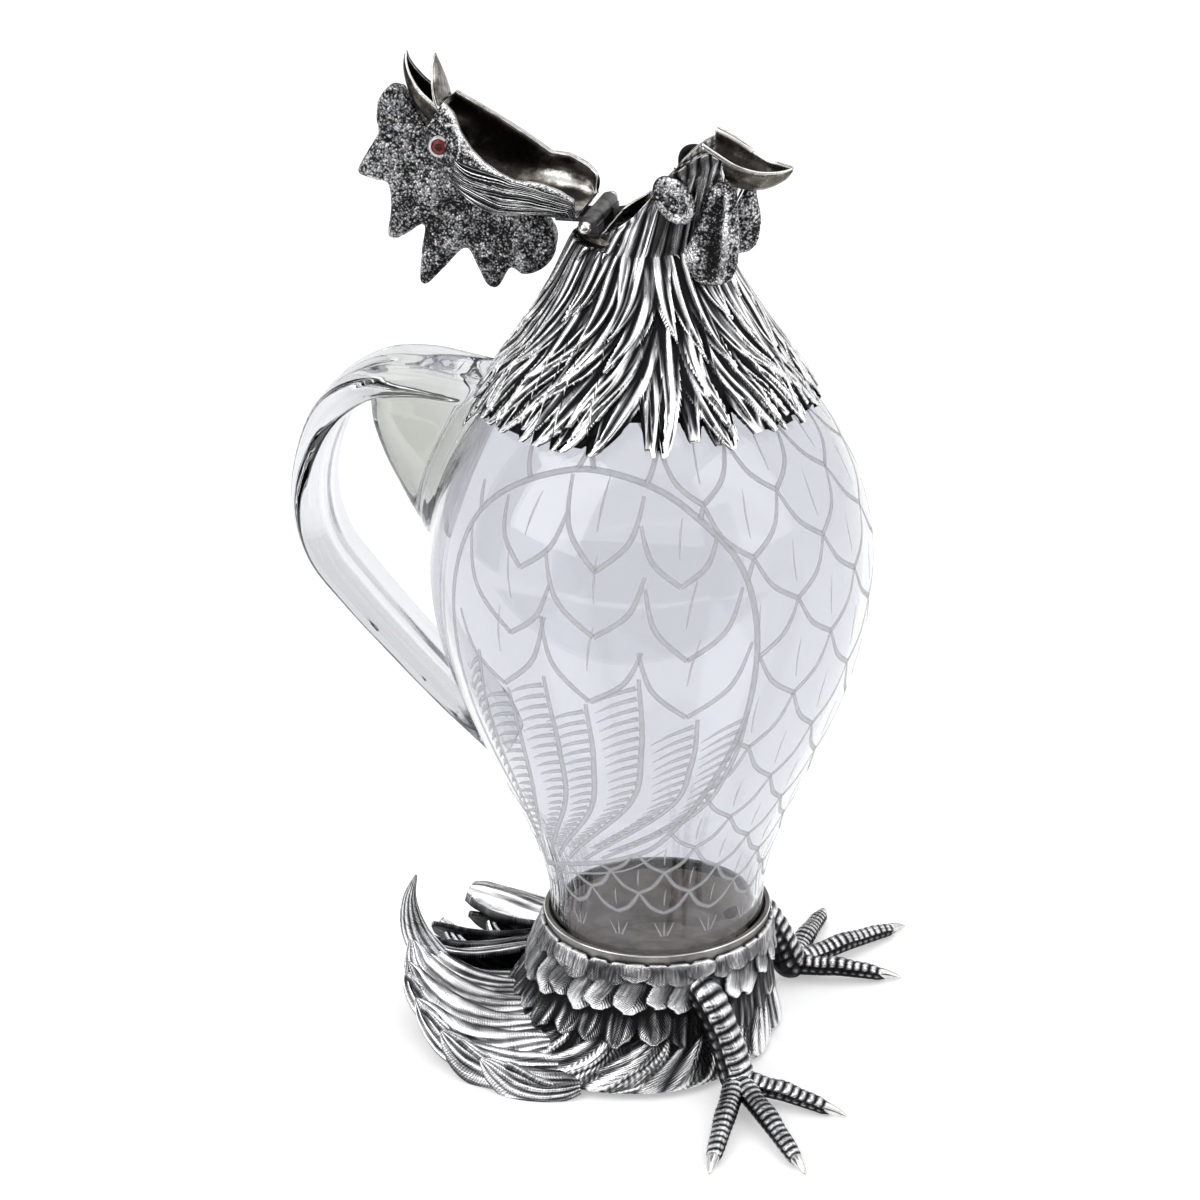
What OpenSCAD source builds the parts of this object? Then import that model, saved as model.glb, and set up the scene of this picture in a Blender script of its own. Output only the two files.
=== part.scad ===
// Cockerel claret jug: an engraved glass body with a glass strap handle, held in silver mounts.
// The bird looks along +X, Z is up, and the origin is on the body's axis at table height.

/* [Glass body] */
// Largest diameter of the glass body
belly_d = 126; // [120:1:130]
// Height of the widest part above the table
belly_z = 152; // [150:0.5:154]
// Diameter of the glass where it enters the silver base
waist_d = 62.8; // [60:0.2:64]
// Height at which the glass begins to swell
waist_z = 46; // [44:0.5:48]
// Wall thickness of the glass
glass_wall = 3; // [2.4:0.1:3.4]
// Height of the shoulder curve above the widest part
shoulder_h = 69; // [68:0.5:70]
// Height above the widest part at which the shoulder turns into the neck
turn_h = 56; // [54:0.5:57]
// Outer diameter of the glass neck
neck_d = 32; // [31:0.5:33]
// Height of the top of the glass neck
neck_z = 246; // [244:0.5:248]
// Height of the underside of the glass
foot_z = 14.6; // [12:0.2:16]
// Thickness of the glass floor
floor_t = 9; // [6:0.5:11]

/* [Glass handle] */
// Distance from the body's axis to the middle of the strap where it reaches furthest
handle_reach = 100.5; // [97:0.5:104]
// Height of the strap where it leaves the shoulder
handle_top_z = 201; // [198:0.5:203]
// Height of the strap where it comes back to the body
handle_low_z = 84; // [80:1:88]
// Width of the strap
handle_w = 26; // [22:0.5:28]
// Thickness of the strap
handle_t = 10; // [8:0.5:11]
// Number of rounded reeds across the strap
handle_reeds = 3; // [1:2:5]
// Depth to which the hot handle melts into the wall
fuse_depth = 0.4; // [0.2:0.1:1.2]
// Height of the pad that spreads the handle's top over the shoulder
pad_h = 42; // [36:1:44]
// Width of the pad
pad_w = 30; // [26:1:32]
// Thickness of the pad
pad_t = 10; // [8:0.5:12]

/* [Silver base] */
// Height of the silver base
base_h = 41; // [39:0.5:42]
// Diameter of the skirt at its sides on the table
skirt_d = 102; // [96:1:106]
// Share of the skirt's radius that is missing at the front
skirt_front_share = 0.33; // [0.28:0.01:0.35]
// Thickness of the skirt casting
skirt_t = 2.6; // [2:0.1:3]
// Number of feathers round the skirt
skirt_feathers = 18; // [12:1:22]
// Height by which the feather lips hang in points
skirt_scallop = 3; // [1:0.5:4]
// Step under each row of feathers
skirt_lip = 1.3; // [0.8:0.1:1.6]
// Thickness of the cup that holds the glass
cup_t = 0.9; // [0.6:0.1:1.2]
// Thickness of the cement round the glass
cement_t = 0.6; // [0.4:0.1:0.8]
// Thickness of the closing plate under the base
plate_t = 1.6; // [1:0.2:2.4]

/* [Feet] */
// Distance from the axis forward to the hub of each foot
foot_x = 32; // [30:0.5:34]
// Distance from the middle plane to the hub of each foot
foot_y = 35; // [34:0.5:38]
// Length of the middle toe
toe_len = 43.5; // [38:0.5:46]
// Thickness of a toe at its root
toe_d = 7; // [6:0.5:7.5]
// Thickness of the shank
shank_d = 10; // [8:0.5:11]
// Length of a claw
claw_len = 6; // [4:0.5:7]

/* [Tail] */
// Distance from the axis to the end of the longest lying tail feather
tail_reach = 76; // [72:1:78]
// Angle from the middle plane to the outermost tail feather
tail_spread = 60; // [54:1:64]
// Number of lying tail feathers
tail_feathers_n = 9; // [7:2:11]
// Width of a tail feather
tail_feather_w = 22; // [18:0.5:24]
// Thickness of a tail feather
tail_feather_t = 3; // [2.4:0.2:3.6]
// Height to which the middle feather ends curl
tail_curl_h = 17; // [14:0.5:19]
// Distance from the axis to the outside of the bend of the sickle feather
sickle_reach = 80; // [78.5:0.5:81]
// Height of the tip of the sickle feather
sickle_h = 41.5; // [38:0.5:44]

/* [Neck mount] */
// Thickness of the sleeve round the glass neck
sleeve_t = 1; // [0.8:0.1:1.2]
// Diameter of the neck plumage at its top
hackle_top_d = 39.6; // [39.2:0.2:40.4]
// Diameter across the feather tips that rest on the glass
hackle_d = 95; // [92:0.5:97]
// Height of the neck plumage
hackle_h = 47.5; // [46:0.5:48]
// Number of feather tips round the plumage
hackle_tips = 20; // [16:1:24]
// Length of the points between the tips
hackle_point = 5.5; // [3:0.5:7]
// Thickness of the plumage casting
hackle_t = 2.4; // [2:0.1:2.8]
// Depth of the grooves between the feathers
hackle_groove = 2.4; // [0.8:0.1:2.8]
// Step under the upper tier of feathers
hackle_lip = 1.2; // [0.6:0.1:1.6]

/* [Throat and spout] */
// Outer diameter of the throat where it stands on the sleeve
throat_d = 37.2; // [36.8:0.2:38]
// Wall of the throat
throat_t = 1.8; // [1.4:0.1:2]
// Slope of the plane in which the head parts from the neck
parting_slope = 28; // [27:0.5:29]
// Length of the mouth of the throat, front to back
mouth_len = 41; // [39:0.5:42]
// Width of the mouth of the throat
mouth_w = 30; // [29:0.5:31]
// Depth of the notch that leads to the spout
notch_h = 11; // [9:0.5:12]
// Distance that the spout stands out from the throat
spout_len = 16.7; // [15:0.5:18]
// Width of the spout at its root
spout_w = 18.6; // [17.6:0.2:19.2]
// Depth of the spout at its root
spout_depth = 10; // [9:0.5:11]
// Wall of the spout
spout_t = 1.1; // [0.8:0.1:1.4]

/* [Wattles and lobes] */
// Length of a wattle
wattle_len = 31; // [28:0.5:32]
// Width of a wattle
wattle_w = 14; // [12:0.5:15]
// Thickness of a wattle
wattle_t = 5; // [4:0.5:5.5]
// Height of an earlobe
lobe_h = 11; // [9:0.5:12]
// Width of an earlobe
lobe_w = 9; // [7:0.5:10]
// Thickness of the rim of an earlobe
lobe_t = 2.2; // [1.6:0.2:2.6]

/* [Hinge] */
// Distance from the axis back to the hinge pin
hinge_back = 13; // [12.8:0.1:13.2]
// Height of the hinge pin above the glass
hinge_rise = 6.7; // [6.6:0.1:6.9]
// Diameter of the hinge pin
pin_d = 2.2; // [1.8:0.1:2.4]
// Length of the hinge pin between its end balls
pin_len = 28; // [26:0.5:30]
// Diameter of the balls on the ends of the pin
ball_d = 3.6; // [3:0.2:4]
// Outer diameter of the hinge knuckles
knuckle_d = 5; // [4.6:0.1:5.2]
// Length of the moving knuckle
leaf_w = 9.8; // [8:0.2:11]
// Length over the two fixed knuckles
ears_w = 22.6; // [21:0.2:23]
// Thickness of the moving leaf
leaf_t = 1.6; // [1.2:0.1:1.8]
// Length of the moving leaf from the pin
leaf_len = 11; // [8:0.5:12]
// Angle to which the head stands open at rest
head_open = 115; // [0:1:115]

/* [Head] */
// Length of the head from the pin to the root of the beak
head_len = 51.5; // [51:0.5:52]
// Height of the crown above the parting plane
crown_h = 17.8; // [16:0.2:19]
// Wall of the head
head_t = 1.8; // [1.4:0.1:2]
// Gap between the head and the throat when it is shut
lid_gap = 0.3; // [0.2:0.05:0.6]
// Length of the upper beak
beak_len = 17.3; // [15:0.5:18]
// Width of the upper beak at its root
beak_w = 12.8; // [11:0.2:13.2]
// Length of the bill blade under the beak
bill_len = 10.1; // [8:0.5:10.5]
// Width of the bill blade at its root
bill_w = 10; // [8:0.5:11]
// Thickness of the bill blade
bill_t = 1.5; // [1:0.1:1.8]
// Distance that the comb runs forward past the root of the beak
comb_front = 15; // [13:0.5:15.5]
// Height of the comb's tallest spike above the parting plane
comb_h = 49.5; // [46:0.5:52]
// Thickness of the comb
comb_t = 4.2; // [3:0.2:5]
// Diameter of the bezel round each eye
bezel_d = 6; // [5:0.2:6.4]
// Diameter of each glass eye
eye_d = 4.6; // [4:0.2:4.8]
// Height by which the bezel stands out of its seat
bezel_h = 2; // [1.6:0.1:2.4]

/* [Hidden] */

// Overrun of every cut past the face that it opens
over = 1;
// Clearance between castings that are soldered together
seat = 0.1;
// Clearance between the fixed castings and the glass
glass_seat = 0.3;
// Radial clearance of the pin in the moving knuckle
pin_play = 0.05;
// Radial clearance of the pin in the fixed knuckles
pin_fit = 0.02;
// Gap at each end of the moving knuckle
knuckle_gap = 0.2;
// Radius of the hair line that closes a solid plug
hair = 0.01;
// Facets of exact round parts, and of the balls inside hulls
round_fn = 96;
ball_fn = 14;

// Helpers: mixing, a smooth curve through hand placed points, and a wall between two grids

function mix(a, b, t) = a + (b - a) * t;

function clamp01(t) = max(0, min(1, t));

function pick(pts, i) = pts[max(0, min(len(pts) - 1, i))];

function bend(a, b, c, d, t) =
    0.5 * (2 * b + (c - a) * t + (2 * a - 5 * b + 4 * c - d) * t * t
        + (3 * b - a - 3 * c + d) * t * t * t);

// The point at share t of a curve that passes through every point of a list
function curve(pts, t) =
    let (n = len(pts) - 1, s = clamp01(t) * n, i = min(n - 1, floor(s)))
    bend(pick(pts, i - 1), pick(pts, i), pick(pts, i + 1), pick(pts, i + 2), s - i);

// A triangle wave that is 1 at the middle of each step and 0 at its ends
function tent(t) = 1 - abs(2 * (t - floor(t)) - 1);

// A solid wall between an outer and an inner grid of points, closed round or open like a trough
module wall(out, in, closed) {
    rows = len(out);
    cols = len(out[0]);
    n = rows * cols;
    last = closed ? cols - 1 : cols - 2;
    faces = concat(
        [for (i = [0 : rows - 2], j = [0 : last])
            let (a = i * cols + j, b = i * cols + (j + 1) % cols, c = b + cols, d = a + cols)
            each [[a, b, c], [a, c, d], [n + a, n + c, n + b], [n + a, n + d, n + c]]],
        [for (j = [0 : last])
            let (a = j, b = (j + 1) % cols, c = n - cols + j, d = n - cols + (j + 1) % cols)
            each [[a, n + a, n + b], [a, n + b, b], [c, d, n + d], [c, n + d, n + c]]],
        closed ? [] : [for (i = [0 : rows - 2])
            let (a = i * cols, b = a + cols, c = a + cols - 1, d = c + cols)
            each [[a, b, n + b], [a, n + b, n + a], [c, n + c, n + d], [c, n + d, d]]]);
    polyhedron([each each out, each each in], faces, convexity = 10);
}

// A solid rod through a list of rings, capped at both ends
module rod(rings) {
    rows = len(rings);
    cols = len(rings[0]);
    n = rows * cols;
    function middle(ring) = [for (k = [0 : 2]) (ring[0][k] + ring[floor(cols / 2)][k]) / 2];
    faces = concat(
        [for (i = [0 : rows - 2], j = [0 : cols - 1])
            let (a = i * cols + j, b = i * cols + (j + 1) % cols, c = b + cols, d = a + cols)
            each [[a, b, c], [a, c, d]]],
        [for (j = [0 : cols - 1])
            each [[n, (j + 1) % cols, j], [n + 1, n - cols + j, n - cols + (j + 1) % cols]]]);
    polyhedron([each each rings, middle(rings[0]), middle(rings[rows - 1])], faces, convexity = 10);
}

// A chain of hulls between neighbouring balls; each station is [place, radii]
module chain(stations) {
    for (i = [0 : len(stations) - 2]) {
        hull() {
            ball(stations[i]);
            ball(stations[i + 1]);
        }
    }
}

module ball(station) {
    translate(station[0]) scale(station[1]) sphere(1, $fn = ball_fn);
}

// The glass outline

belly_r = belly_d / 2;
waist_r = waist_d / 2;
neck_r = neck_d / 2;
turn_z = belly_z + turn_h;

// How fast the belly swells above the waist
swell_power = 0.85;

// Radius of the outside of the shoulder, an ellipse round the widest part
function shoulder_r(z) = belly_r * sqrt(max(0, 1 - pow((z - belly_z) / shoulder_h, 2)));

function swell_r(z) =
    mix(waist_r, belly_r, 0.5 - 0.5 * cos(180 * pow((z - waist_z) / (belly_z - waist_z), swell_power)));

turn_r = shoulder_r(turn_z);
turn_slope = belly_r * belly_r / shoulder_h / shoulder_h * turn_h / turn_r;
turn_knee_z = turn_z + (turn_r - neck_r) / turn_slope;
turn_end_z = turn_knee_z + (turn_knee_z - turn_z) / 2;

function knee(t) =
    let (a = [turn_r, turn_z], b = [neck_r, turn_knee_z], c = [neck_r, turn_end_z])
    mix(mix(a, b, t), mix(b, c, t), t);

// Outside radius of the glass at any height
function glass_r(z) =
    z <= waist_z ? waist_r
    : z <= belly_z ? swell_r(z)
    : z <= turn_z ? shoulder_r(z)
    : z <= turn_end_z ? lookup(z, [for (i = [0 : 12]) let (p = knee(i / 12)) [p[1], p[0]]])
    : neck_r;

glass_outside = concat(
    [for (i = [0 : 14]) let (z = mix(waist_z, belly_z, i / 14)) [glass_r(z), z]],
    [for (i = [1 : 10]) let (z = mix(belly_z, turn_z, i / 10)) [glass_r(z), z]],
    [for (i = [1 : 8]) knee(i / 8)]);

// The same outline drawn in by a distance along its normals
function drawn_in(d) =
    [for (i = [0 : len(glass_outside) - 1])
        let (a = pick(glass_outside, i - 1), b = pick(glass_outside, i + 1), t = b - a)
        pick(glass_outside, i) + [-t[1], t[0]] * d / norm(t)];

module glass_block(d) {
    rotate_extrude($fn = round_fn)
        polygon(concat([[0, foot_z + d], [waist_r - d, foot_z + d]], drawn_in(d),
            [[neck_r - d, neck_z + d], [0, neck_z + d]]));
}

module glass_body() {
    inside = drawn_in(glass_wall);
    color("lavender", 0.5) rotate_extrude($fn = round_fn)
        polygon(concat(
            [[0, foot_z], [waist_r, foot_z]], glass_outside, [[neck_r, neck_z], [neck_r - glass_wall, neck_z]],
            [for (i = [len(inside) - 1 : -1 : 0]) inside[i]],
            [[waist_r - glass_wall, foot_z + floor_t + glass_wall], [waist_r - 2 * glass_wall, foot_z + floor_t],
                [0, foot_z + floor_t]]));
}

// The handle: a reeded strap that follows a curve in the middle plane

// Places of the strap's middle: share of the way from the glass out to its reach, and of its height
handle_shares = [[-0.04, 0.99], [0.285, 1.0], [0.61, 0.985], [0.85, 0.925], [0.975, 0.81], [1.0, 0.675],
    [0.92, 0.545], [0.755, 0.4], [0.525, 0.26], [0.28, 0.12], [-0.02, -0.04]];
handle_steps = 30;
handle_across = 12;
// Depth of the valley between reeds as a share of the thickness
reed_valley_share = 0.62;

function handle_at(t) =
    let (s = curve(handle_shares, t), root = mix(glass_r(handle_top_z), glass_r(handle_low_z), clamp01(t)))
    [-mix(root, handle_reach, s[0]), mix(handle_low_z, handle_top_z, s[1])];

// Half thickness across the strap, from 0 at one edge to 1 at the other
function reed(v) =
    let (inner = v > 0.5 / handle_reeds && v < 1 - 0.5 / handle_reeds)
    max(sqrt(abs(sin(180 * handle_reeds * v))), inner ? reed_valley_share : 0) * handle_t / 2;

function handle_ring(t) =
    let (p = handle_at(t), d = handle_at(t + 0.01) - handle_at(t - 0.01), n = [-d[1], d[0]] / norm(d))
    [for (k = [0 : 2 * handle_across - 1])
        let (v = k <= handle_across ? k / handle_across : 2 - k / handle_across,
            h = (k <= handle_across ? 1 : -1) * reed(v))
        [p[0] + n[0] * h, (v - 0.5) * handle_w, p[1] + n[1] * h]];

pad_stations = 8;
function pad_station(s) =
    let (z = handle_top_z - s * pad_h, grow = sqrt(1 - 0.9 * s * s))
    [[-glass_r(z), 0, z], [pad_t / 2 * mix(1, 0.6, s), pad_w / 2 * grow, pad_h / pad_stations]];

module glass_handle() {
    color("honeydew", 0.6) difference() {
        union() {
            rod([for (i = [0 : handle_steps]) handle_ring(i / handle_steps)]);
            chain([for (i = [0 : pad_stations]) pad_station(i / pad_stations)]);
        }
        glass_block(fuse_depth);
        hackle_plug();
    }
}

// The base: a cup that holds the glass in cement, inside a cast skirt of feathers

cement_r = waist_r + cement_t;
cup_r = cement_r + cup_t;
cup_floor_z = foot_z - cement_t;

module base_cup() {
    color("silver") rotate_extrude($fn = round_fn)
        polygon([[0, cup_floor_z - cup_t], [cup_r, cup_floor_z - cup_t], [cup_r, base_h],
            [cement_r, base_h], [cement_r, cup_floor_z], [0, cup_floor_z]]);
}

module base_cement() {
    color("gainsboro") rotate_extrude($fn = round_fn)
        polygon([[0, cup_floor_z], [cement_r, cup_floor_z], [cement_r, base_h - cement_t],
            [waist_r, base_h - cement_t], [waist_r, foot_z], [0, foot_z]]);
}

skirt_r = skirt_d / 2;
skirt_top_r = cup_r + seat;
// Rows of the skirt: share of the height, share of the way out, lip step, share of the scallop
skirt_rows_shares = [[1, 0, 0, 0], [0.9, 0, 0, 0], [0.86, 0.06, 0, 0], [0.66, 0.22, 0, 1], [0.645, 0.22, 1, 1],
    [0.5, 0.36, 0.5, 1], [0.36, 0.56, 0, 1], [0.345, 0.56, 1, 1], [0.18, 0.76, 0.5, 0.6], [0, 1, 0, 0]];
// Columns of points for each feather of the cast mounts
feather_cols = 4;
skirt_cols = feather_cols * skirt_feathers;

// Share of the full radius at an angle: the skirt is drawn in at the front
function front_share(a, depth) = 1 - skirt_front_share * depth * pow((1 + cos(a)) / 2, 1.5);

function skirt_outline_r(a, out_share) =
    mix(skirt_top_r + skirt_t / 2, skirt_r * front_share(a, 1), out_share);

function skirt_point(row, j, inset) =
    let (a = 360 * j / skirt_cols, s = skirt_rows_shares[row],
        wave = tent(j / feather_cols + 0.5 * (row > 5 ? 1 : 0)),
        z = base_h * s[0] - skirt_scallop * s[3] * (wave - 0.5),
        ruffle = row == len(skirt_rows_shares) - 1 ? skirt_lip * (wave - 0.5) : 0,
        r = skirt_outline_r(a, s[1]) - skirt_lip * s[2] + ruffle - inset)
    [max(skirt_top_r, r) * cos(a), max(skirt_top_r, r) * sin(a), z];

function skirt_outer(grow) =
    [for (i = [0 : len(skirt_rows_shares) - 1]) [for (j = [0 : skirt_cols - 1]) skirt_point(i, j, -grow)]];

function skirt_inner_r(a, out_share) = max(skirt_top_r, skirt_outline_r(a, out_share) - skirt_lip - skirt_t);

function skirt_inner() =
    [for (i = [0 : len(skirt_rows_shares) - 1]) [for (j = [0 : skirt_cols - 1])
        let (a = 360 * j / skirt_cols, s = skirt_rows_shares[i], r = skirt_inner_r(a, s[1]))
        [r * cos(a), r * sin(a), base_h * s[0]]]];

module base_skirt() {
    color("darkgray") wall(skirt_outer(0), skirt_inner(), true);
}

// The space that the skirt fills, with its clearance, closed down to a hair line
module skirt_plug() {
    wall(skirt_outer(seat),
        [for (row = skirt_inner()) [for (j = [0 : skirt_cols - 1])
            let (a = 360 * j / skirt_cols) [hair * cos(a), hair * sin(a), row[0][2]]]], true);
}

// How far out the skirt's inside lies at the top of the plate
skirt_foot_shares = skirt_rows_shares[len(skirt_rows_shares) - 2];
plate_out_share = mix(1, skirt_foot_shares[1], plate_t / base_h / skirt_foot_shares[0]);

module base_plate() {
    color("silver") linear_extrude(plate_t)
        polygon([for (j = [0 : skirt_cols / 2 - 1])
            let (a = 720 * j / skirt_cols, r = skirt_inner_r(a, plate_out_share) - seat)
                [r * cos(a), r * sin(a)]]);
}

// The feet: a hub on the table, three ringed toes with claws, and a shank up to the skirt

// Direction of each toe in degrees from straight ahead, and its share of the toe length
toe_shares = [[87, 0.92], [54, 1.0], [11, 0.67]];
// Radius along a toe as a share of its root radius, with one swelling at the knuckle
toe_taper_shares = [1, 0.92, 0.86, 0.7, 0.56];
toe_rise_shares = [0.5, 0.55, 0.45, 0.2, 0];

function toe_station(dir, length, i) =
    let (s = i / 4, r = toe_d / 2 * toe_taper_shares[i], lift = toe_d / 2 * toe_rise_shares[i])
    [[foot_x + length * s * cos(dir), foot_y + length * s * sin(dir), r + lift], [r, r, r]];

module toe(dir, length) {
    tip = toe_station(dir, length, 4);
    reach = length + claw_len;
    chain([for (i = [0 : 4]) toe_station(dir, length, i)]);
    chain([tip, [[foot_x + reach * cos(dir), foot_y + reach * sin(dir), toe_d / 6], [1, 1, 1] * toe_d / 12]]);
}

module foot() {
    color("gray") difference() {
        union() {
            for (t = toe_shares) {
                toe(t[0], toe_len * t[1]);
            }
            chain([
                [[foot_x, foot_y, toe_d * 0.8], [1, 1, 0.8] * shank_d * 0.55],
                [[foot_x - shank_d * 0.25, foot_y - shank_d * 0.1, shank_d * 1.3], [1, 1, 1] * shank_d * 0.46],
                [[foot_x - shank_d * 0.7, foot_y - shank_d * 0.25, shank_d * 2.4], [1, 1, 1] * shank_d * 0.48],
                [[foot_x - shank_d * 1.5, foot_y - shank_d, shank_d * 2.9], [1, 1, 1] * shank_d * 0.45]]);
        }
        skirt_plug();
        translate([0, 0, -shank_d]) cylinder(h = shank_d, r = foot_x + foot_y + toe_len);
    }
}

module foot_left() {
    foot();
}

module foot_right() {
    mirror([0, 1, 0]) foot();
}

// The tail: a fan of lying feathers with curled ends, and one upright sickle feather

tail_rows = 9;
// Width along a feather as shares of its full width
feather_width_shares = [0.55, 0.75, 0.9, 1.0, 1.0, 0.86, 0.4];
// Height along a lying feather as shares of its curl height
feather_lift_shares = [0.75, 0.42, 0.25, 0.2, 0.3, 0.55, 1.0];
// Sickle feather: shares of its reach and height, then of the feather width for its half width and
// half thickness
sickle_shares = [[0.55, 0.19, 0.18, 0.32], [0.71, 0.16, 0.22, 0.3], [0.84, 0.25, 0.27, 0.25],
    [0.915, 0.42, 0.235, 0.19],
    [0.955, 0.6, 0.185, 0.14], [0.96, 0.81, 0.1, 0.08], [0.93, 1.0, 0.02, 0.02]];
sickle_rows = 14;
sickle_cols = 12;
// Height of the midrib over the edges, and depth of the two valleys between its locks, as shares of the width
feather_crown_share = 0.13;
feather_lock_share = 0.1;
// Places of edges, locks and valleys across a feather, from the midrib
lock_places_shares = [-1, -0.7, -0.38, 0, 0.38, 0.7, 1];

// A feather as a thin wall: middle line, side direction, width and thickness at each row
module feather(lines, sides, widths, thick, tilt) {
    function top(i, k) =
        let (v = lock_places_shares[k])
        lines[i] + sides[i] * v * widths[i] / 2
        + [0, 0, widths[i] * (feather_crown_share * (1 - v * v) + tilt * v
            - (abs(k - 3) == 1 ? feather_lock_share : 0))];
    out = [for (i = [0 : len(lines) - 1]) [for (k = [0 : len(lock_places_shares) - 1]) top(i, k)]];
    in = [for (row = out) [for (p = row) p - [0, 0, thick]]];
    wall(out, in, false);
}

module tail_feather(k) {
    s = 2 * k / (tail_feathers_n - 1) - 1;
    a = 180 - s * tail_spread;
    reach = tail_reach * (1 - 0.24 * s * s);
    curl = tail_curl_h * (1 - 0.55 * s * s);
    start = skirt_r * 0.62;
    feather(
        [for (i = [0 : tail_rows]) let (t = i / tail_rows, r = mix(start, reach, t))
            [r * cos(a), r * sin(a), tail_feather_t + curl * curve(feather_lift_shares, t)]],
        [for (i = [0 : tail_rows]) [-sin(a), cos(a), 0]],
        [for (i = [0 : tail_rows]) tail_feather_w * curve(feather_width_shares, i / tail_rows)],
        tail_feather_t, 0.12 * sign(s));
}

module sickle() {
    function at(t) = let (p = curve(sickle_shares, t)) [-p[0] * sickle_reach, 0, p[1] * sickle_h];
    function side(t) = let (d = at(t + 0.02) - at(t - 0.02)) [-d[2], 0, d[0]] / norm(d);
    rod([for (i = [0 : sickle_rows]) let (t = i / sickle_rows, p = curve(sickle_shares, t), out = side(t))
        [for (k = [0 : sickle_cols - 1]) let (a = 360 * k / sickle_cols)
            at(t) + out * tail_feather_w * p[2] * cos(a) + [0, tail_feather_w * p[3] * sin(a), 0]]]);
}

// The low mound of down from which the tail feathers spring
module tail_mound() {
    mound_r = tail_feather_w / 2;
    chain([for (i = [0 : 8])
        let (a = 180 - tail_spread * (i / 4 - 1), r = skirt_r * 0.91)
        [[r * cos(a), r * sin(a), mound_r * 0.3], [mound_r, mound_r, mound_r * 0.66]]]);
}

module tail_feathers() {
    color("silver") difference() {
        union() {
            for (k = [0 : tail_feathers_n - 1]) {
                tail_feather(k);
            }
            sickle();
            tail_mound();
        }
        skirt_plug();
        translate([0, 0, -shank_d]) cylinder(h = shank_d, r = sickle_reach + tail_feather_w);
    }
}

// The neck mount: a sleeve cemented to the glass neck, and the cast plumage round it

sleeve_r = neck_r + cement_t + sleeve_t;
sleeve_top_z = neck_z + sleeve_t;

module neck_sleeve() {
    color("silver") rotate_extrude($fn = round_fn)
        polygon([[neck_r + cement_t, turn_end_z], [sleeve_r, turn_end_z],
            [sleeve_r, sleeve_top_z], [neck_r + cement_t, sleeve_top_z]]);
}

module neck_cement() {
    color("gainsboro") rotate_extrude($fn = round_fn)
        polygon([[neck_r, turn_end_z], [neck_r + cement_t, turn_end_z], [neck_r + cement_t, neck_z],
            [neck_r, neck_z]]);
}

hackle_top_z = sleeve_top_z;
hackle_low_z = hackle_top_z - hackle_h;
// Outline of the plumage: share of the way out and share of the way down
hackle_shares = [[0, 0], [0.07, 0.09], [0.19, 0.24], [0.3, 0.36], [0.41, 0.47], [0.55, 0.6], [0.75, 0.75], [1, 1]];
hackle_cols = feather_cols * hackle_tips;
// Rows of the plumage: share of the way down, 1 for the upper tier and 0 for the lower, share of the point
hackle_rows_shares = [[0, 1, 0], [0.12, 1, 0], [0.26, 1, 0], [0.42, 1, 0.4], [0.58, 1, 1], [0.59, 0, 1],
    [0.68, 0, 0.6],
    [0.8, 0, 0.7], [0.91, 0, 0.9], [1, 0, 1]];
hackle_tier_share = hackle_rows_shares[4][0];
hackle_rows = len(hackle_rows_shares) - 1;

function hackle_at(t) =
    let (s = curve(hackle_shares, t))
    [mix(hackle_top_d, hackle_d, s[0]) / 2, mix(hackle_top_z, hackle_low_z, s[1])];

function hackle_point_at(i, j, inner) =
    let (a = 360 * j / hackle_cols, s = hackle_rows_shares[i], lower = s[1] == 0,
        low_wave = tent(j / feather_cols),
        up_wave = tent(j / feather_cols + 0.5), wave = lower ? low_wave : up_wave,
        shown = s[0] > hackle_tier_share * 1.1 ? low_wave : up_wave,
        t = s[0] * (1 - s[2] * hackle_point / hackle_h * (1 - shown)),
        fade = (1 - s[0]) / (1 - hackle_tier_share),
        p = hackle_at(t),
        groove = hackle_groove * min(1, s[0] / hackle_tier_share) * (1 - wave) + (lower ? hackle_lip * fade : 0),
        r_in = max(sleeve_r + seat, glass_r(p[1]) + glass_seat, p[0] - hackle_groove - hackle_lip - hackle_t),
        r = inner ? r_in : max(p[0] - groove, r_in + hackle_t / 3))
    [r * cos(a), r * sin(a), p[1]];

function hackle_grid(inner) =
    [for (i = [0 : hackle_rows]) [for (j = [0 : hackle_cols - 1]) hackle_point_at(i, j, inner)]];

module hackle() {
    color("darkgray") wall(hackle_grid(false), hackle_grid(true), true);
}

// The space that the plumage fills, with its clearance, closed down to a hair line
module hackle_plug() {
    grid = hackle_grid(false);
    rows = concat(grid, [[for (p = grid[hackle_rows]) p - [0, 0, glass_seat]]]);
    wall([for (row = rows) [for (p = row) let (s = 1 + seat / neck_r) [p[0] * s, p[1] * s, p[2]]]],
        [for (row = rows) [for (p = row) let (s = hair / norm([p[0], p[1]])) [p[0] * s, p[1] * s, p[2]]]], true);
}

// The throat: from a round foot on the sleeve up to the slanting mouth

hinge_x = -hinge_back;
hinge_z = neck_z + hinge_rise;
throat_low_z = sleeve_top_z;
// The mouth begins in front of the hinge knuckles
mouth_back_x = hinge_x + knuckle_d / 2 + 0.1 * knuckle_d;
// Half outline of the mouth from back to front: share of its length and of its half width
mouth_shares = [[0, 0], [0, 0.43], [0.02, 0.78], [0.14, 0.95], [0.32, 1], [0.52, 0.93], [0.7, 0.77], [0.87, 0.56],
    [0.97, 0]];
throat_cols = 40;
throat_rows = 5;

function parting_z(x) = hinge_z + (x - hinge_x) * tan(parting_slope);

// Share along the half outline of column j, 0 at the back and 1 at the front
function half_share(j) = let (h = throat_cols / 2) 1 - abs(j - h) / h;

function notch_at(h) = let (t = clamp01((h - 0.82) / 0.18)) notch_h * t * t * (3 - 2 * t);

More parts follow.
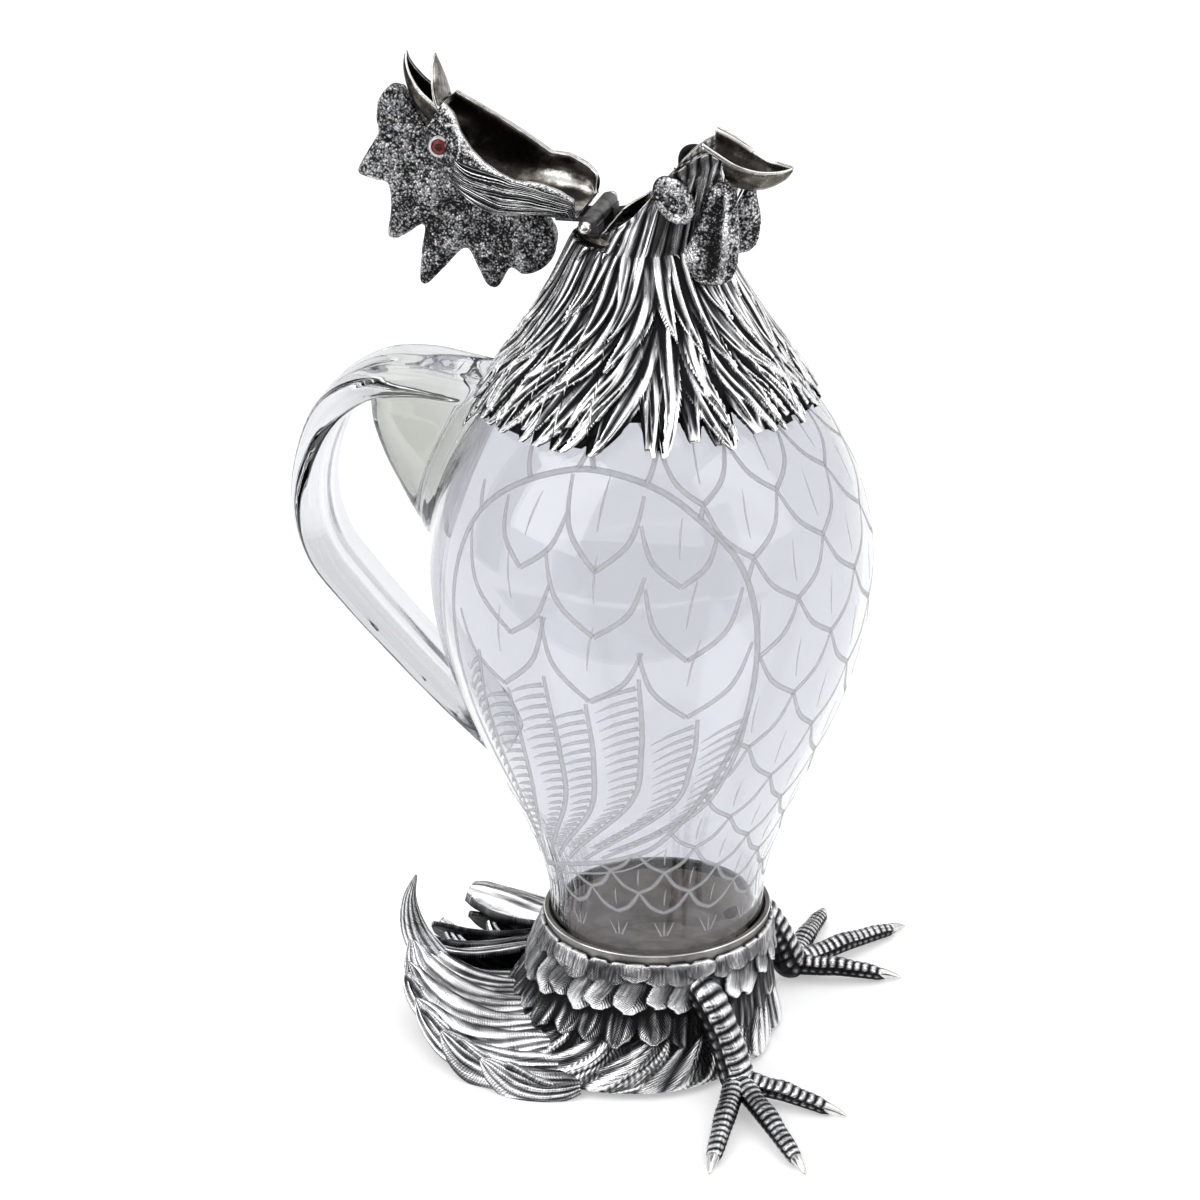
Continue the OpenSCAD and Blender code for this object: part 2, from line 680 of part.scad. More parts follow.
// A lift over 0 raises the mouth and leaves out its notch, for the space that a plug fills
function mouth_point(j, inset, lift) =
    let (h = half_share(j), s = curve(mouth_shares, h), turn = j > throat_cols / 2 ? -1 : 1,
        x = mouth_back_x + inset + s[0] * (mouth_len - 2 * inset))
    [x, turn * s[1] * (mouth_w / 2 - inset), parting_z(x) + (lift > 0 ? lift : -notch_at(h))];

function foot_point(j, r, z) =
    let (a = 180 - 360 * j / throat_cols) [r * cos(a), r * sin(a), z];

// The ledge that carries the hinge lies low behind the mouth
ledge_h = hinge_rise - sleeve_t - knuckle_d / 2 - seat;
function ledge_point(j, inset, rise) =
    let (h = half_share(j), e = max(0.16, 1 - clamp01((h - 0.2) / 0.25)),
        low = foot_point(j, throat_d / 2 - inset, throat_low_z), high = mouth_point(j, inset, 0))
    [mix(low[0], high[0], e), mix(low[1], high[1], e), throat_low_z + rise];

function throat_grid(inset, rise, lift) =
    concat([[for (j = [0 : throat_cols - 1]) foot_point(j, throat_d / 2 - inset, throat_low_z)]],
        [for (i = [0 : throat_rows - 1]) [for (j = [0 : throat_cols - 1])
            let (t = i / (throat_rows - 1))
            mix(ledge_point(j, inset, rise), mouth_point(j, inset, 0), t)]],
        lift > 0 ? [[for (j = [0 : throat_cols - 1]) mouth_point(j, inset, lift)]] : []);

module throat() {
    color("darkgray") wall(throat_grid(0, ledge_h, 0), throat_grid(throat_t, ledge_h - throat_t / 2, 0), true);
}

// The space that the throat encloses, with its clearance, closed down to a hair line
module throat_plug() {
    core_x = mouth_back_x + mouth_len / 3;
    grid = throat_grid(-seat, ledge_h, spout_depth);
    wall(grid, [for (row = grid) [for (j = [0 : throat_cols - 1])
        let (a = 180 - 360 * j / throat_cols, z = (row[0][2] + row[throat_cols / 2][2]) / 2)
        [core_x + hair * cos(a), hair * sin(a), z]]], true);
}

// The spout: an open pointed trough, the lower half of the bird's bill

// Stations of the spout: share of its length, of its width, of its depth, and drop of the edges by depth
spout_shares = [[-0.4, 0.9, 1.0, -0.35], [0, 1.0, 0.95, 0], [0.25, 0.92, 0.82, 0.24], [0.5, 0.72, 0.66, 0.4],
    [0.74, 0.48, 0.46, 0.46], [0.9, 0.26, 0.28, 0.46], [1, 0.06, 0.1, 0.43]];
spout_root_x = mouth_back_x + mouth_len * 0.85;
spout_cols = 12;
spout_rows = 10;

function spout_point(i, k, inset) =
    let (s = curve(spout_shares, i / spout_rows), a = 180 * k / spout_cols,
        b = max(hair, spout_w / 2 * s[1] - inset), d = max(hair, spout_depth * s[2] - inset))
    [spout_root_x + s[0] * spout_len, b * cos(a), parting_z(spout_root_x) - spout_depth * s[3] - d * sin(a)];

// The space that the spout fills, with its clearance
module spout_plug() {
    wall([for (i = [0 : spout_rows]) [for (k = [0 : spout_cols]) spout_point(i, k, -seat)]],
        [for (i = [0 : spout_rows]) [for (k = [0 : spout_cols]) spout_point(i, k, spout_w)]], false);
}

// The bright bead along both edges of the spout
module spout_bead(side) {
    chain([for (i = [1 : 3 : spout_rows]) let (p = spout_point(i, side > 0 ? 0 : spout_cols, spout_t / 2))
        [[p[0], p[1], p[2]], [1, 1, 1] * spout_t * 0.6]]);
}

module spout() {
    color("silver") difference() {
        union() {
            wall([for (i = [0 : spout_rows]) [for (k = [0 : spout_cols]) spout_point(i, k, 0)]],
                [for (i = [0 : spout_rows]) [for (k = [0 : spout_cols]) spout_point(i, k, spout_t)]], false);
            spout_bead(1);
            spout_bead(-1);
        }
        throat_plug();
    }
}

// Wattles and earlobes hang on the sides of the throat

wattle_width_shares = [0.5, 0.6, 0.7, 0.8, 0.9, 0.97, 1, 0.98, 0.85, 0.6];
wattle_steps = 9;

module wattle() {
    top = [mouth_back_x + mouth_len * 0.86, mouth_w * 0.27, parting_z(mouth_back_x + mouth_len * 0.86) - wattle_t];
    foot = [top[0] - wattle_w * 0.12, mouth_w * 0.47, top[2] - wattle_len + wattle_t];
    color("dimgray") difference() {
        chain([for (i = [0 : wattle_steps]) let (s = i / wattle_steps, w = curve(wattle_width_shares, s) / 2)
            [mix(top, foot, s), [wattle_w * w, wattle_t * w, wattle_t * w]]]);
        throat_plug();
        hackle_plug();
        spout_plug();
    }
}

module wattle_left() {
    wattle();
}

module wattle_right() {
    mirror([0, 1, 0]) wattle();
}

module earlobe() {
    x = mouth_back_x + mouth_len * 0.54;
    middle = [x, mouth_w * 0.49, parting_z(x) - lobe_h * 0.74];
    color("dimgray") difference() {
        union() {
            chain([for (i = [0 : 9]) let (a = 40 * i)
                [middle + [lobe_w / 2 * cos(a) - lobe_h * 0.16 * sin(a), 0, lobe_h / 2 * sin(a)],
                    [1, 1, 1] * lobe_t / 2]]);
            translate(middle) scale([lobe_w, lobe_t * 0.8, lobe_h] / 2) sphere(1, $fn = ball_fn);
        }
        throat_plug();
        hackle_plug();
    }
}

module earlobe_left() {
    earlobe();
}

module earlobe_right() {
    mirror([0, 1, 0]) earlobe();
}

// The hinge: two fixed knuckles on the ledge, a pin with ball ends, and the moving leaf

module across(length, d) {
    rotate([90, 0, 0]) cylinder(h = length, d = d, center = true, $fn = round_fn / 2);
}

module at_hinge() {
    translate([hinge_x, 0, hinge_z]) children();
}

module on_head() {
    at_hinge() rotate([0, -parting_slope - head_open, 0]) children();
}

module hinge_ears() {
    inner = leaf_w / 2 + knuckle_gap;
    ear = ears_w / 2 - inner;
    color("silver") at_hinge() difference() {
        for (side = [-1, 1]) {
            translate([0, side * (inner + ear / 2), 0]) {
                across(ear, knuckle_d);
                translate([0, -ear / 2, -knuckle_d / 2])
                    cube([mouth_back_x - hinge_x - seat, ear, knuckle_d / 2]);
            }
        }
        across(ears_w + 2 * over, pin_d + 2 * pin_fit);
    }
}

module hinge_pin() {
    color("silver") at_hinge() {
        across(pin_len, pin_d);
        for (side = [-1, 1]) {
            translate([0, side * pin_len / 2, 0]) rotate([90, 0, 0])
                rotate_extrude($fn = round_fn / 2) intersection() {
                    circle(d = ball_d, $fn = round_fn / 2);
                    translate([0, -ball_d]) square([ball_d, 2 * ball_d]);
                }
        }
    }
}

module hinge_leaf() {
    color("silver") on_head() difference() {
        union() {
            across(leaf_w, knuckle_d);
            rotate([0, -nape_slope, 0]) translate([0, -leaf_w / 2, nape_drop + seat])
                cube([leaf_len, leaf_w, leaf_t]);
        }
        across(leaf_w + 2 * over, pin_d + 2 * pin_play);
    }
}

// The head: a hollow shell that lies on the parting plane when shut. Lengths run from the pin

// Rows of the head: share of its length, share of the half width, share of the crown height
head_shares = [[0.07, 0.76, 0.11], [0.1, 0.83, 0.18], [0.175, 0.93, 0.34], [0.29, 0.99, 0.56], [0.41, 1.0, 0.78],
    [0.52, 0.95, 0.93], [0.64, 0.87, 1.0], [0.76, 0.75, 0.98], [0.875, 0.61, 0.89], [0.97, 0.48, 0.76],
    [1.0, 0.45, 0.7]];
head_cols = 18;
// Fullness of the cheeks: power of the section, and swelling over the rim
cheek_power = 0.8;
cheek_swell_share = 0.25;

function head_u(i) = head_shares[i][0] * head_len;

function nape_h(i) = head_shares[i][2] * crown_h;

// Slope of the back of the head above the parting plane, and how far its line misses the pin
nape_slope = atan((nape_h(2) - nape_h(0)) / (head_u(2) - head_u(0)));
nape_drop = nape_h(0) * cos(nape_slope) - head_u(0) * sin(nape_slope) + lid_gap * cos(nape_slope);

function head_point(i, k, inset) =
    let (s = head_shares[i], a = 180 * k / head_cols, shut = inset > 0 && (i == 0 || i == len(head_shares) - 1),
        b = shut ? hair : s[1] * mouth_w / 2 - inset, h = shut ? hair : s[2] * crown_h - inset,
        c = cos(a), side = sign(c) * pow(abs(c), cheek_power) * (1 + cheek_swell_share * sin(a)))
    [s[0] * head_len, -b * side, lid_gap + h * pow(sin(a), cheek_power)];

function head_grid(inset) =
    [for (i = [0 : len(head_shares) - 1]) [for (k = [0 : head_cols]) head_point(i, k, inset)]];

// Place of the eyes: share of the head's length, of the crown's height, and of the half width
eye_shares = [0.875, 0.56, 0.52];
eye_place = [eye_shares[0] * head_len, eye_shares[2] * mouth_w / 2, eye_shares[1] * crown_h];

module at_eye() {
    translate(eye_place) rotate([-90, 0, 0]) children();
}

module head_shell() {
    color("darkgray") on_head() difference() {
        wall(head_grid(0), head_grid(head_t), false);
        for (side = [0, 1]) {
            mirror([0, side, 0]) at_eye() cylinder(h = bezel_h + over, d = bezel_d, $fn = round_fn / 2);
        }
    }
}

comb_reach = head_len + comb_front;
// Outline of the comb above the crown: share of its reach and of its height, from front to back
comb_shares = [[0.955, 0.14], [1.0, 0.18], [0.998, 0.29], [0.965, 0.38], [0.925, 0.44], [0.91, 0.58],
    [0.885, 0.71], [0.83, 0.69], [0.765, 0.65], [0.7, 0.75], [0.62, 0.9], [0.58, 0.83], [0.545, 0.71],
    [0.49, 0.84], [0.405, 1.0], [0.375, 0.86], [0.35, 0.665], [0.27, 0.7], [0.16, 0.755], [0.145, 0.67],
    [0.15, 0.59], [0.09, 0.57], [0.05, 0.5], [0.035, 0.41], [0.05, 0.33], [0.1, 0.25], [0.19, 0.205]];
comb_steps = 3;

module comb() {
    n = (len(comb_shares) - 1) * comb_steps;
    root = len(head_shares) - 1;
    color("dimgray") on_head() rotate([90, 0, 0]) linear_extrude(comb_t, center = true)
        polygon(concat(
            [for (i = [3 : root]) [head_u(i), nape_h(i) + lid_gap + seat]],
            [[head_len + 0.47 * beak_len, crown_h * 0.53 + seat]],
            [for (i = [0 : n]) let (p = curve(comb_shares, i / n)) [p[0] * comb_reach, p[1] * comb_h]]));
}

// The beak and the bill blade: hollow curved horns that open downwards

// Stations of the beak: share of its length, of its width, height of its edge and of its ridge by the crown
beak_shares = [[0, 1, 0.135, 0.715], [0.2, 0.86, 0.145, 0.64], [0.46, 0.66, 0.14, 0.5], [0.72, 0.44, 0.07, 0.29],
    [0.9, 0.22, -0.03, 0.1], [1, 0.06, -0.13, -0.07]];
beak_t = spout_t;
beak_rows = 9;
beak_cols = 12;

function beak_point(i, k, inset) =
    let (s = curve(beak_shares, i / beak_rows), a = 180 * k / beak_cols,
        b = max(hair, s[1] * beak_w / 2 - inset), h = max(hair, (s[3] - s[2]) * crown_h - inset))
    [head_len + s[0] * beak_len, -b * cos(a), s[2] * crown_h + h * pow(sin(a), cheek_power)];

module upper_beak() {
    color("silver") on_head()
        wall([for (i = [0 : beak_rows]) [for (k = [0 : beak_cols]) beak_point(i, k, 0)]],
            [for (i = [0 : beak_rows]) [for (k = [0 : beak_cols]) beak_point(i, k, beak_t)]], false);
}

// Stations of the blade: share of its length, of its width, and drop by the crown height
bill_shares = [[0, 1, 0.11], [0.2, 0.94, 0.02], [0.5, 0.72, -0.13], [0.8, 0.4, -0.3], [1, 0.08, -0.41]];
bill_rows = 6;

module inner_bill() {
    across_shares = [-1, -0.6, -0.2, 0.2, 0.6, 1];
    out = [for (i = [0 : bill_rows]) let (s = curve(bill_shares, i / bill_rows), b = s[1] * bill_w / 2)
        [for (v = across_shares) [head_len + s[0] * bill_len, b * v, s[2] * crown_h + b * 0.3 * (v * v - 1) + bill_t / 2]]];
    in = [for (row = out) [for (p = row) p - [0, 0, bill_t * 0.7]]];
    color("silver") on_head() wall(out, in, false);
}

// The eyes: a silver ring let into the head, and a red glass bead inside it

module bezel_ring() {
    color("silver") at_eye() difference() {
        cylinder(h = bezel_h, d = bezel_d - seat, $fn = round_fn / 2);
        translate([0, 0, -over]) cylinder(h = bezel_h + 2 * over, d = eye_d, $fn = round_fn / 2);
    }
}

module eye_bead() {
    r = (eye_d - seat) / 2;
    color("firebrick") at_eye() rotate_extrude($fn = round_fn / 2)
        polygon([[0, 0], [r, 0], for (a = [0 : 15 : 75]) [r * cos(a), bezel_h * 0.7 + r * 0.45 * sin(a)],
            [0, bezel_h * 0.7 + r * 0.45]]);
}

module eye_bezel_left() {
    on_head() bezel_ring();
}

module eye_bezel_right() {
    on_head() mirror([0, 1, 0]) bezel_ring();
}

module eye_left() {
    on_head() eye_bead();
}

module eye_right() {
    on_head() mirror([0, 1, 0]) eye_bead();
}

glass_body();
glass_handle();
base_cup();
base_cement();
base_skirt();
base_plate();
tail_feathers();
foot_left();
foot_right();
neck_sleeve();
neck_cement();
hackle();
throat();
spout();
wattle_left();
wattle_right();
earlobe_left();
earlobe_right();
hinge_ears();
hinge_pin();
hinge_leaf();
head_shell();
comb();
upper_beak();
inner_bill();
eye_bezel_left();
eye_bezel_right();
eye_left();
eye_right();
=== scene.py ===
# %% [markdown]
# # A cockerel claret jug in engraved glass and silver
# The jug is a blown glass body with a glass strap handle, set in cast silver: plumage round the
# neck, a throat with a spout, a feathered base with feet and tail, and a head that is the lid.
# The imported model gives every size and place, and this script dresses it. Each cell makes one
# piece or one finish, and the cells run in order.

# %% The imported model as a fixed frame
import math

import bpy
import numpy as np
from mathutils import Matrix, Vector, noise

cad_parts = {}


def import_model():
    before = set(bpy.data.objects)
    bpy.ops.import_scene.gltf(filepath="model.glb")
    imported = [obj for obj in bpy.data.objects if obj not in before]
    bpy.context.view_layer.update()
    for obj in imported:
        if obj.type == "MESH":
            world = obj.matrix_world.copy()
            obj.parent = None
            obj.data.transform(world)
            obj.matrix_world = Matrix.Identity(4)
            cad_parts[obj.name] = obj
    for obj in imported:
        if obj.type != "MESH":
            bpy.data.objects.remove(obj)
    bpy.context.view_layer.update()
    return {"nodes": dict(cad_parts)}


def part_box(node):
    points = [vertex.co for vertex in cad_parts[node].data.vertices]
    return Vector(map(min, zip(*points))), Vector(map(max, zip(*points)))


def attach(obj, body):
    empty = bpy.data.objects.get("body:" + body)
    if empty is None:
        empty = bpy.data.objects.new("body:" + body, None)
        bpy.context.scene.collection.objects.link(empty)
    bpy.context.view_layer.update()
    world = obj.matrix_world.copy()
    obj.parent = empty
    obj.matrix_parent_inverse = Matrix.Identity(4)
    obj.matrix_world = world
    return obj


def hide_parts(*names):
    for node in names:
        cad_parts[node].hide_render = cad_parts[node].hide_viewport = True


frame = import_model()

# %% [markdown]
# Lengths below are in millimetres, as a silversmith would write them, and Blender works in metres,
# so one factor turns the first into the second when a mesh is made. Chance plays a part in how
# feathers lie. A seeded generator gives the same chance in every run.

MM = 0.001
chance = np.random.default_rng(11)


def node_box(node):
    """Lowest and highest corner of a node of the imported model, in millimetres."""
    low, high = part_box(node)
    return np.array(low) / MM, np.array(high) / MM


def mix(a, b, t):
    return a + (b - a) * t


def smooth(t):
    t = np.clip(t, 0, 1)
    return t * t * (3 - 2 * t)


def unit(v):
    return v / np.maximum(np.linalg.norm(v, axis=-1, keepdims=True), 1e-9)


def curve(points, t):
    """A smooth line through a few chosen points, read at shares t from 0 to 1."""
    points = np.asarray(points, float)
    last = len(points) - 1
    place = np.clip(np.asarray(t, float), 0, 1) * last
    i = np.minimum(place.astype(int), last - 1)
    f = (place - i)[..., None]
    a, b, c, d = (points[np.clip(i + k, 0, last)] for k in (-1, 0, 1, 2))
    return 0.5 * (2 * b + (c - a) * f + (2 * a - 5 * b + 4 * c - d) * f**2 + (3 * b - a - 3 * c + d) * f**3)


def profile(values, t):
    """One value that changes along a line, read at shares t."""
    return curve(np.reshape(values, (-1, 1)), t)[..., 0]


def bell(x, width):
    """1 where x is nothing, falling off on both sides over a width."""
    return np.exp(-((x / width) ** 2))


def run_of(line):
    """How far along a line each of its points lies."""
    return np.concatenate([[0], np.cumsum(np.linalg.norm(np.diff(line, axis=0), axis=1))])


def axial(r, angle, z):
    """Points at a radius, angle and height round the jug's upright axis."""
    return np.stack(np.broadcast_arrays(r * np.cos(angle), r * np.sin(angle), z), -1)


def placed(name, data):
    """A new object in the scene."""
    made = bpy.data.objects.new(name, data)
    bpy.context.scene.collection.objects.link(made)
    return made


# %% [markdown]
# The photograph shows the jug's right side, a little from the front and from above. A long lens
# from about a metre away keeps the outlines nearly parallel. The camera is placed by its distance,
# its two angles, its roll and the point it aims at.

# %% The camera
CAMERA_TURN = math.radians(15.4)
CAMERA_RISE = math.radians(23.5)
CAMERA_ROLL = math.radians(-1.38)
CAMERA_DISTANCE = 1100
CAMERA_AIM_ASIDE = -14.7
CAMERA_AIM_HEIGHT = 138.5
# Focal length as a share of the sensor's width
CAMERA_REACH = 3.2175

back = Vector((math.sin(CAMERA_TURN) * math.cos(CAMERA_RISE), -math.cos(CAMERA_TURN) * math.cos(CAMERA_RISE),
               math.sin(CAMERA_RISE)))
level = Vector((math.cos(CAMERA_TURN), math.sin(CAMERA_TURN), 0))
upright = back.cross(level)
right = level * math.cos(CAMERA_ROLL) + upright * math.sin(CAMERA_ROLL)
up = upright * math.cos(CAMERA_ROLL) - level * math.sin(CAMERA_ROLL)
aim = Vector((0, 0, CAMERA_AIM_HEIGHT)) + level * CAMERA_AIM_ASIDE

lens = bpy.data.cameras.new("camera")
lens.sensor_width = 36
lens.lens = CAMERA_REACH * lens.sensor_width
lens.clip_start = 0.05
lens.clip_end = 20
camera = placed("camera", lens)
turned = Matrix((right, up, back)).transposed().to_4x4()
camera.matrix_world = Matrix.Translation((aim + back * CAMERA_DISTANCE) * MM) @ turned
bpy.context.scene.camera = camera
bpy.context.scene.view_settings.view_transform = "Standard"
print("The camera stands at", [round(v, 3) for v in camera.matrix_world.translation])

# %% [markdown]
# Every finish below is a small tree of nodes. A few helpers keep the trees short: one starts a
# material with a single shader, one adds a node and wires it in the same line, and one makes a
# shader a metal with its tone, roughness and relief.

# %% Helpers for the finishes
def wire(tree, node, inputs):
    """Fills a node's inputs; each is a value or another node's socket."""
    for key, value in dict(inputs).items():
        if isinstance(value, bpy.types.NodeSocket):
            tree.links.new(value, node.inputs[key])
        else:
            node.inputs[key].default_value = value


def put(tree, kind, inputs=(), **settings):
    """Adds a node, sets it up and fills its inputs."""
    made = tree.nodes.new(kind)
    for key, value in settings.items():
        setattr(made, key, value)
    wire(tree, made, inputs)
    return made


def sum_of(tree, value, factor, plus):
    """value * factor + plus as a node's socket."""
    return put(tree, "ShaderNodeMath", {0: value, 1: factor, 2: plus}, operation="MULTIPLY_ADD").outputs[0]


def ramp(tree, value, stops):
    """A grey or coloured ramp; stops are (place, colour) with the colour as one grey or three values."""
    made = put(tree, "ShaderNodeValToRGB", {0: value})
    elements = made.color_ramp.elements
    while len(elements) < len(stops):
        elements.new(0.5)
    for element, (place, colour) in zip(elements, stops):
        element.position = place
        element.color = (*((colour,) * 3 if isinstance(colour, float) else colour), 1)
    return made.outputs[0]


def new_material(name):
    material = bpy.data.materials.new(name)
    material.use_nodes = True
    tree = material.node_tree
    tree.nodes.clear()
    shader = put(tree, "ShaderNodeBsdfPrincipled")
    put(tree, "ShaderNodeOutputMaterial", {"Surface": shader.outputs[0]})
    return material, tree, shader


def object_noise(tree, per_mm, detail=3, rough=0.6):
    """Noise in the object's own space, with about per_mm features in a millimetre."""
    place = put(tree, "ShaderNodeTexCoord").outputs["Object"]
    return put(tree, "ShaderNodeTexNoise", {"Vector": place, "Scale": per_mm / MM, "Detail": detail,
                                            "Roughness": rough}).outputs[0]


def make_metal(tree, shader, tone, roughness, height, strength, depth):
    """Makes a shader a metal; its relief is as deep as depth says in millimetres."""
    bump = put(tree, "ShaderNodeBump", {"Strength": strength, "Distance": depth * MM, "Height": height})
    wire(tree, shader, {"Base Color": tone, "Roughness": roughness, "Normal": bump.outputs[0], "Metallic": 1})


print("Node helpers ready")

# %% [markdown]
# A patchy finish needs a value that varies over the surface, so castings carry two records on their
# points: how far the polishing wheel reached, and the lie of the feather in millimetres, across it
# and along it. In a few places the polish record also carries painted light: painted shade on one
# row of the base, a painted reflection on the plain band under the glass and a painted highlight on
# each wattle. Streaks and barb lines are drawn from the lie, so they follow each feather.

# %% Patterns that follow the castings
def record(tree, name, output):
    """One of the records that castings carry on their points."""
    return put(tree, "ShaderNodeAttribute", attribute_name=name).outputs[output]


def polish_of(tree):
    return record(tree, "polish", "Fac")


def distance_to(tree, place):
    """The distance of each spot of the surface to a place, in metres as the nodes count."""
    here = put(tree, "ShaderNodeTexCoord").outputs["Object"]
    ends = {0: here, 1: tuple(v * MM for v in place)}
    return put(tree, "ShaderNodeVectorMath", ends, operation="DISTANCE").outputs["Value"]


def lay_noise(tree, across, along):
    """Noise drawn out along a feather: features per millimetre across it and along it."""
    scales = {0: record(tree, "lay", "Vector"), 1: (across, along, 1)}
    drawn = put(tree, "ShaderNodeVectorMath", scales, operation="MULTIPLY").outputs[0]
    return put(tree, "ShaderNodeTexNoise", {"Vector": drawn, "Scale": 1, "Detail": 2}).outputs[0]


def barb_lines(tree, per_mm, slant):
    """Lines from a feather's midrib to its edges at a slant: 0 in the cut and 1 between."""
    parts = put(tree, "ShaderNodeSeparateXYZ", {0: record(tree, "lay", "Vector")})
    aside = put(tree, "ShaderNodeMath", {0: parts.outputs[0]}, operation="ABSOLUTE").outputs[0]
    run = sum_of(tree, lay_noise(tree, 0.25, 0.25), 2.5, parts.outputs[1])
    phase = sum_of(tree, sum_of(tree, aside, -slant, run), per_mm * math.tau, 0.0)
    return sum_of(tree, put(tree, "ShaderNodeMath", {0: phase}, operation="SINE").outputs[0], 0.5, 0.5)


print("Patterns ready")

# %% [markdown]
# Chased silver is dipped so that it turns black, and the wheel then brightens what stands proud.
# One finish serves all plumage: the recorded polish, loosened by streaks along the feather, finer
# lines and broad patches, picks a grey from near black to bright. The broad patches are painted
# reflections: dark and bright patches that stand in for dark surroundings and soft lamps mirrored in
# the silver. Base and tail get lines for the barbs as well. The same value sets the roughness, since
# oxide is dull, and a slight relief, since each streak is a graver's cut.

# %% Oxidised silver for the plumage
def feather_silver(name, lift, worn_share, barbs=None):
    """lift brightens all, worn_share weighs the polish, and barbs are lines per mm, slant and weight."""
    material, tree, shader = new_material(name)
    value = sum_of(tree, polish_of(tree), worn_share, lift - 0.23 - 0.5 * worn_share)
    # The third part, broad noise patches, is painted reflection: dark and bright patches in place of mirrored
    # surroundings
    for part, share in ((lay_noise(tree, 1.5, 0.1), 0.6), (lay_noise(tree, 5.0, 0.25), 0.4),
                        (object_noise(tree, 0.08, 2), 0.7)):
        value = sum_of(tree, part, share, value)
    if barbs:
        value = sum_of(tree, barb_lines(tree, *barbs[:2]), barbs[2], value)
    tone = ramp(tree, value, [(0.2, (0.012, 0.012, 0.013)), (0.4, (0.05, 0.05, 0.053)),
                              (0.58, (0.2, 0.2, 0.205)), (0.74, (0.52, 0.52, 0.53)),
                              (0.92, (0.9, 0.9, 0.91))])
    roughness = ramp(tree, value, [(0.2, 0.5), (0.5, 0.28), (0.9, 0.16)])
    make_metal(tree, shader, tone, roughness, value, 0.5, 0.25)
    return material


HACKLE_SILVER = feather_silver("hackle_silver", -0.12, 1.6)
SKIRT_SILVER = feather_silver("skirt_silver", -0.27, 0.95, (1.1, 1.3, 0.32))
TAIL_SILVER = feather_silver("tail_silver", -0.08, 0.6, (1.3, 0.35, 0.15))
FOOT_SILVER = feather_silver("foot_silver", -0.04, 0.8)
print("Plumage finishes:", [m.name for m in (HACKLE_SILVER, SKIRT_SILVER, TAIL_SILVER, FOOT_SILVER)])

# %% [markdown]
# Comb, wattles and lobes are skin on the bird, so the caster gave them a grain of tiny pits. The pits
# hold the oxide and the land between them is half bright. Small cells and a broader noise drive both
# the colour and the relief. Smooth parts such as the collar, the claws and the hinge only carry a
# thin tarnish, and the spout, the bills and the insides keep the brown bloom that wine and polish
# leave.

# %% Pitted, bright and bloomed silver
def pitted_silver():
    material, tree, shader = new_material("pitted_silver")
    place = put(tree, "ShaderNodeTexCoord").outputs["Object"]
    pits = put(tree, "ShaderNodeTexVoronoi", {"Vector": place, "Scale": 1.45 / MM, "Randomness": 1})
    value = sum_of(tree, pits.outputs["Distance"], -0.75, -0.08)
    value = sum_of(tree, object_noise(tree, 0.65, 5, 0.75), 1.5, value)
    value = sum_of(tree, polish_of(tree), 0.5, value)
    tone = ramp(tree, value, [(0.3, (0.02, 0.02, 0.021)), (0.46, (0.12, 0.12, 0.125)),
                              (0.62, (0.34, 0.34, 0.35)), (0.85, (0.86, 0.86, 0.87))])
    roughness = ramp(tree, value, [(0.3, 0.55), (0.8, 0.25)])
    make_metal(tree, shader, tone, roughness, value, 0.8, 0.3)
    return material


def bright_silver(name, tone, spread, rough):
    """Smooth silver, darker by spread in its tarnished patches."""
    material, tree, shader = new_material(name)
    tarnished = tuple(c * (1 - spread) for c in tone)
    patchy = ramp(tree, object_noise(tree, 0.12, 5, 0.65), [(0.35, tarnished), (0.62, tone)])
    roughness = ramp(tree, object_noise(tree, 0.6, 3), [(0.3, rough), (0.75, rough * 1.8)])
    make_metal(tree, shader, patchy, roughness, object_noise(tree, 0.25, 3), 0.25, 0.2)
    return material


def bloomed_silver():
    material, tree, shader = new_material("bloomed_silver")
    value = sum_of(tree, polish_of(tree), 0.45, object_noise(tree, 0.11, 5, 0.7))
    tone = ramp(tree, value, [(0.4, (0.012, 0.01, 0.009)), (0.56, (0.035, 0.031, 0.028)),
                              (0.72, (0.16, 0.145, 0.125)), (0.95, (0.68, 0.67, 0.65))])
    roughness = ramp(tree, value, [(0.4, 0.42), (0.8, 0.22)])
    make_metal(tree, shader, tone, roughness, object_noise(tree, 0.2, 3), 0.6, 0.5)
    return material


PITTED_SILVER = pitted_silver()
BRIGHT_SILVER = bright_silver("bright_silver", (0.82, 0.81, 0.79), 0.35, 0.14)
DARK_SILVER = bright_silver("dark_silver", (0.2, 0.2, 0.2), 0.7, 0.3)
BLOOMED_SILVER = bloomed_silver()
print("Silver finishes:", [m.name for m in (PITTED_SILVER, BRIGHT_SILVER, DARK_SILVER, BLOOMED_SILVER)])

# %% [markdown]
# Clear glass bends what is behind it and takes a trace of grey at each surface. Lamps reach
# through it here by a shortcut: shadow rays see plain transparency, which spares the render the
# search for caustics. The handle was gathered from another pot and is darker and faintly green where
# it is thick. The cut lines are ground: they scatter light from both sides, and more of the view
# comes through at their thin edges than at the ridge.

# %% Glass and the matt of the cut lines
def to_surface(tree, share, first, second):
    """Mixes two shaders by a share of the second and sends the mixture to the surface."""
    both = put(tree, "ShaderNodeMixShader", {0: share, 1: first.outputs[0], 2: second.outputs[0]})
    tree.links.new(both.outputs[0], tree.nodes["Material Output"].inputs["Surface"])


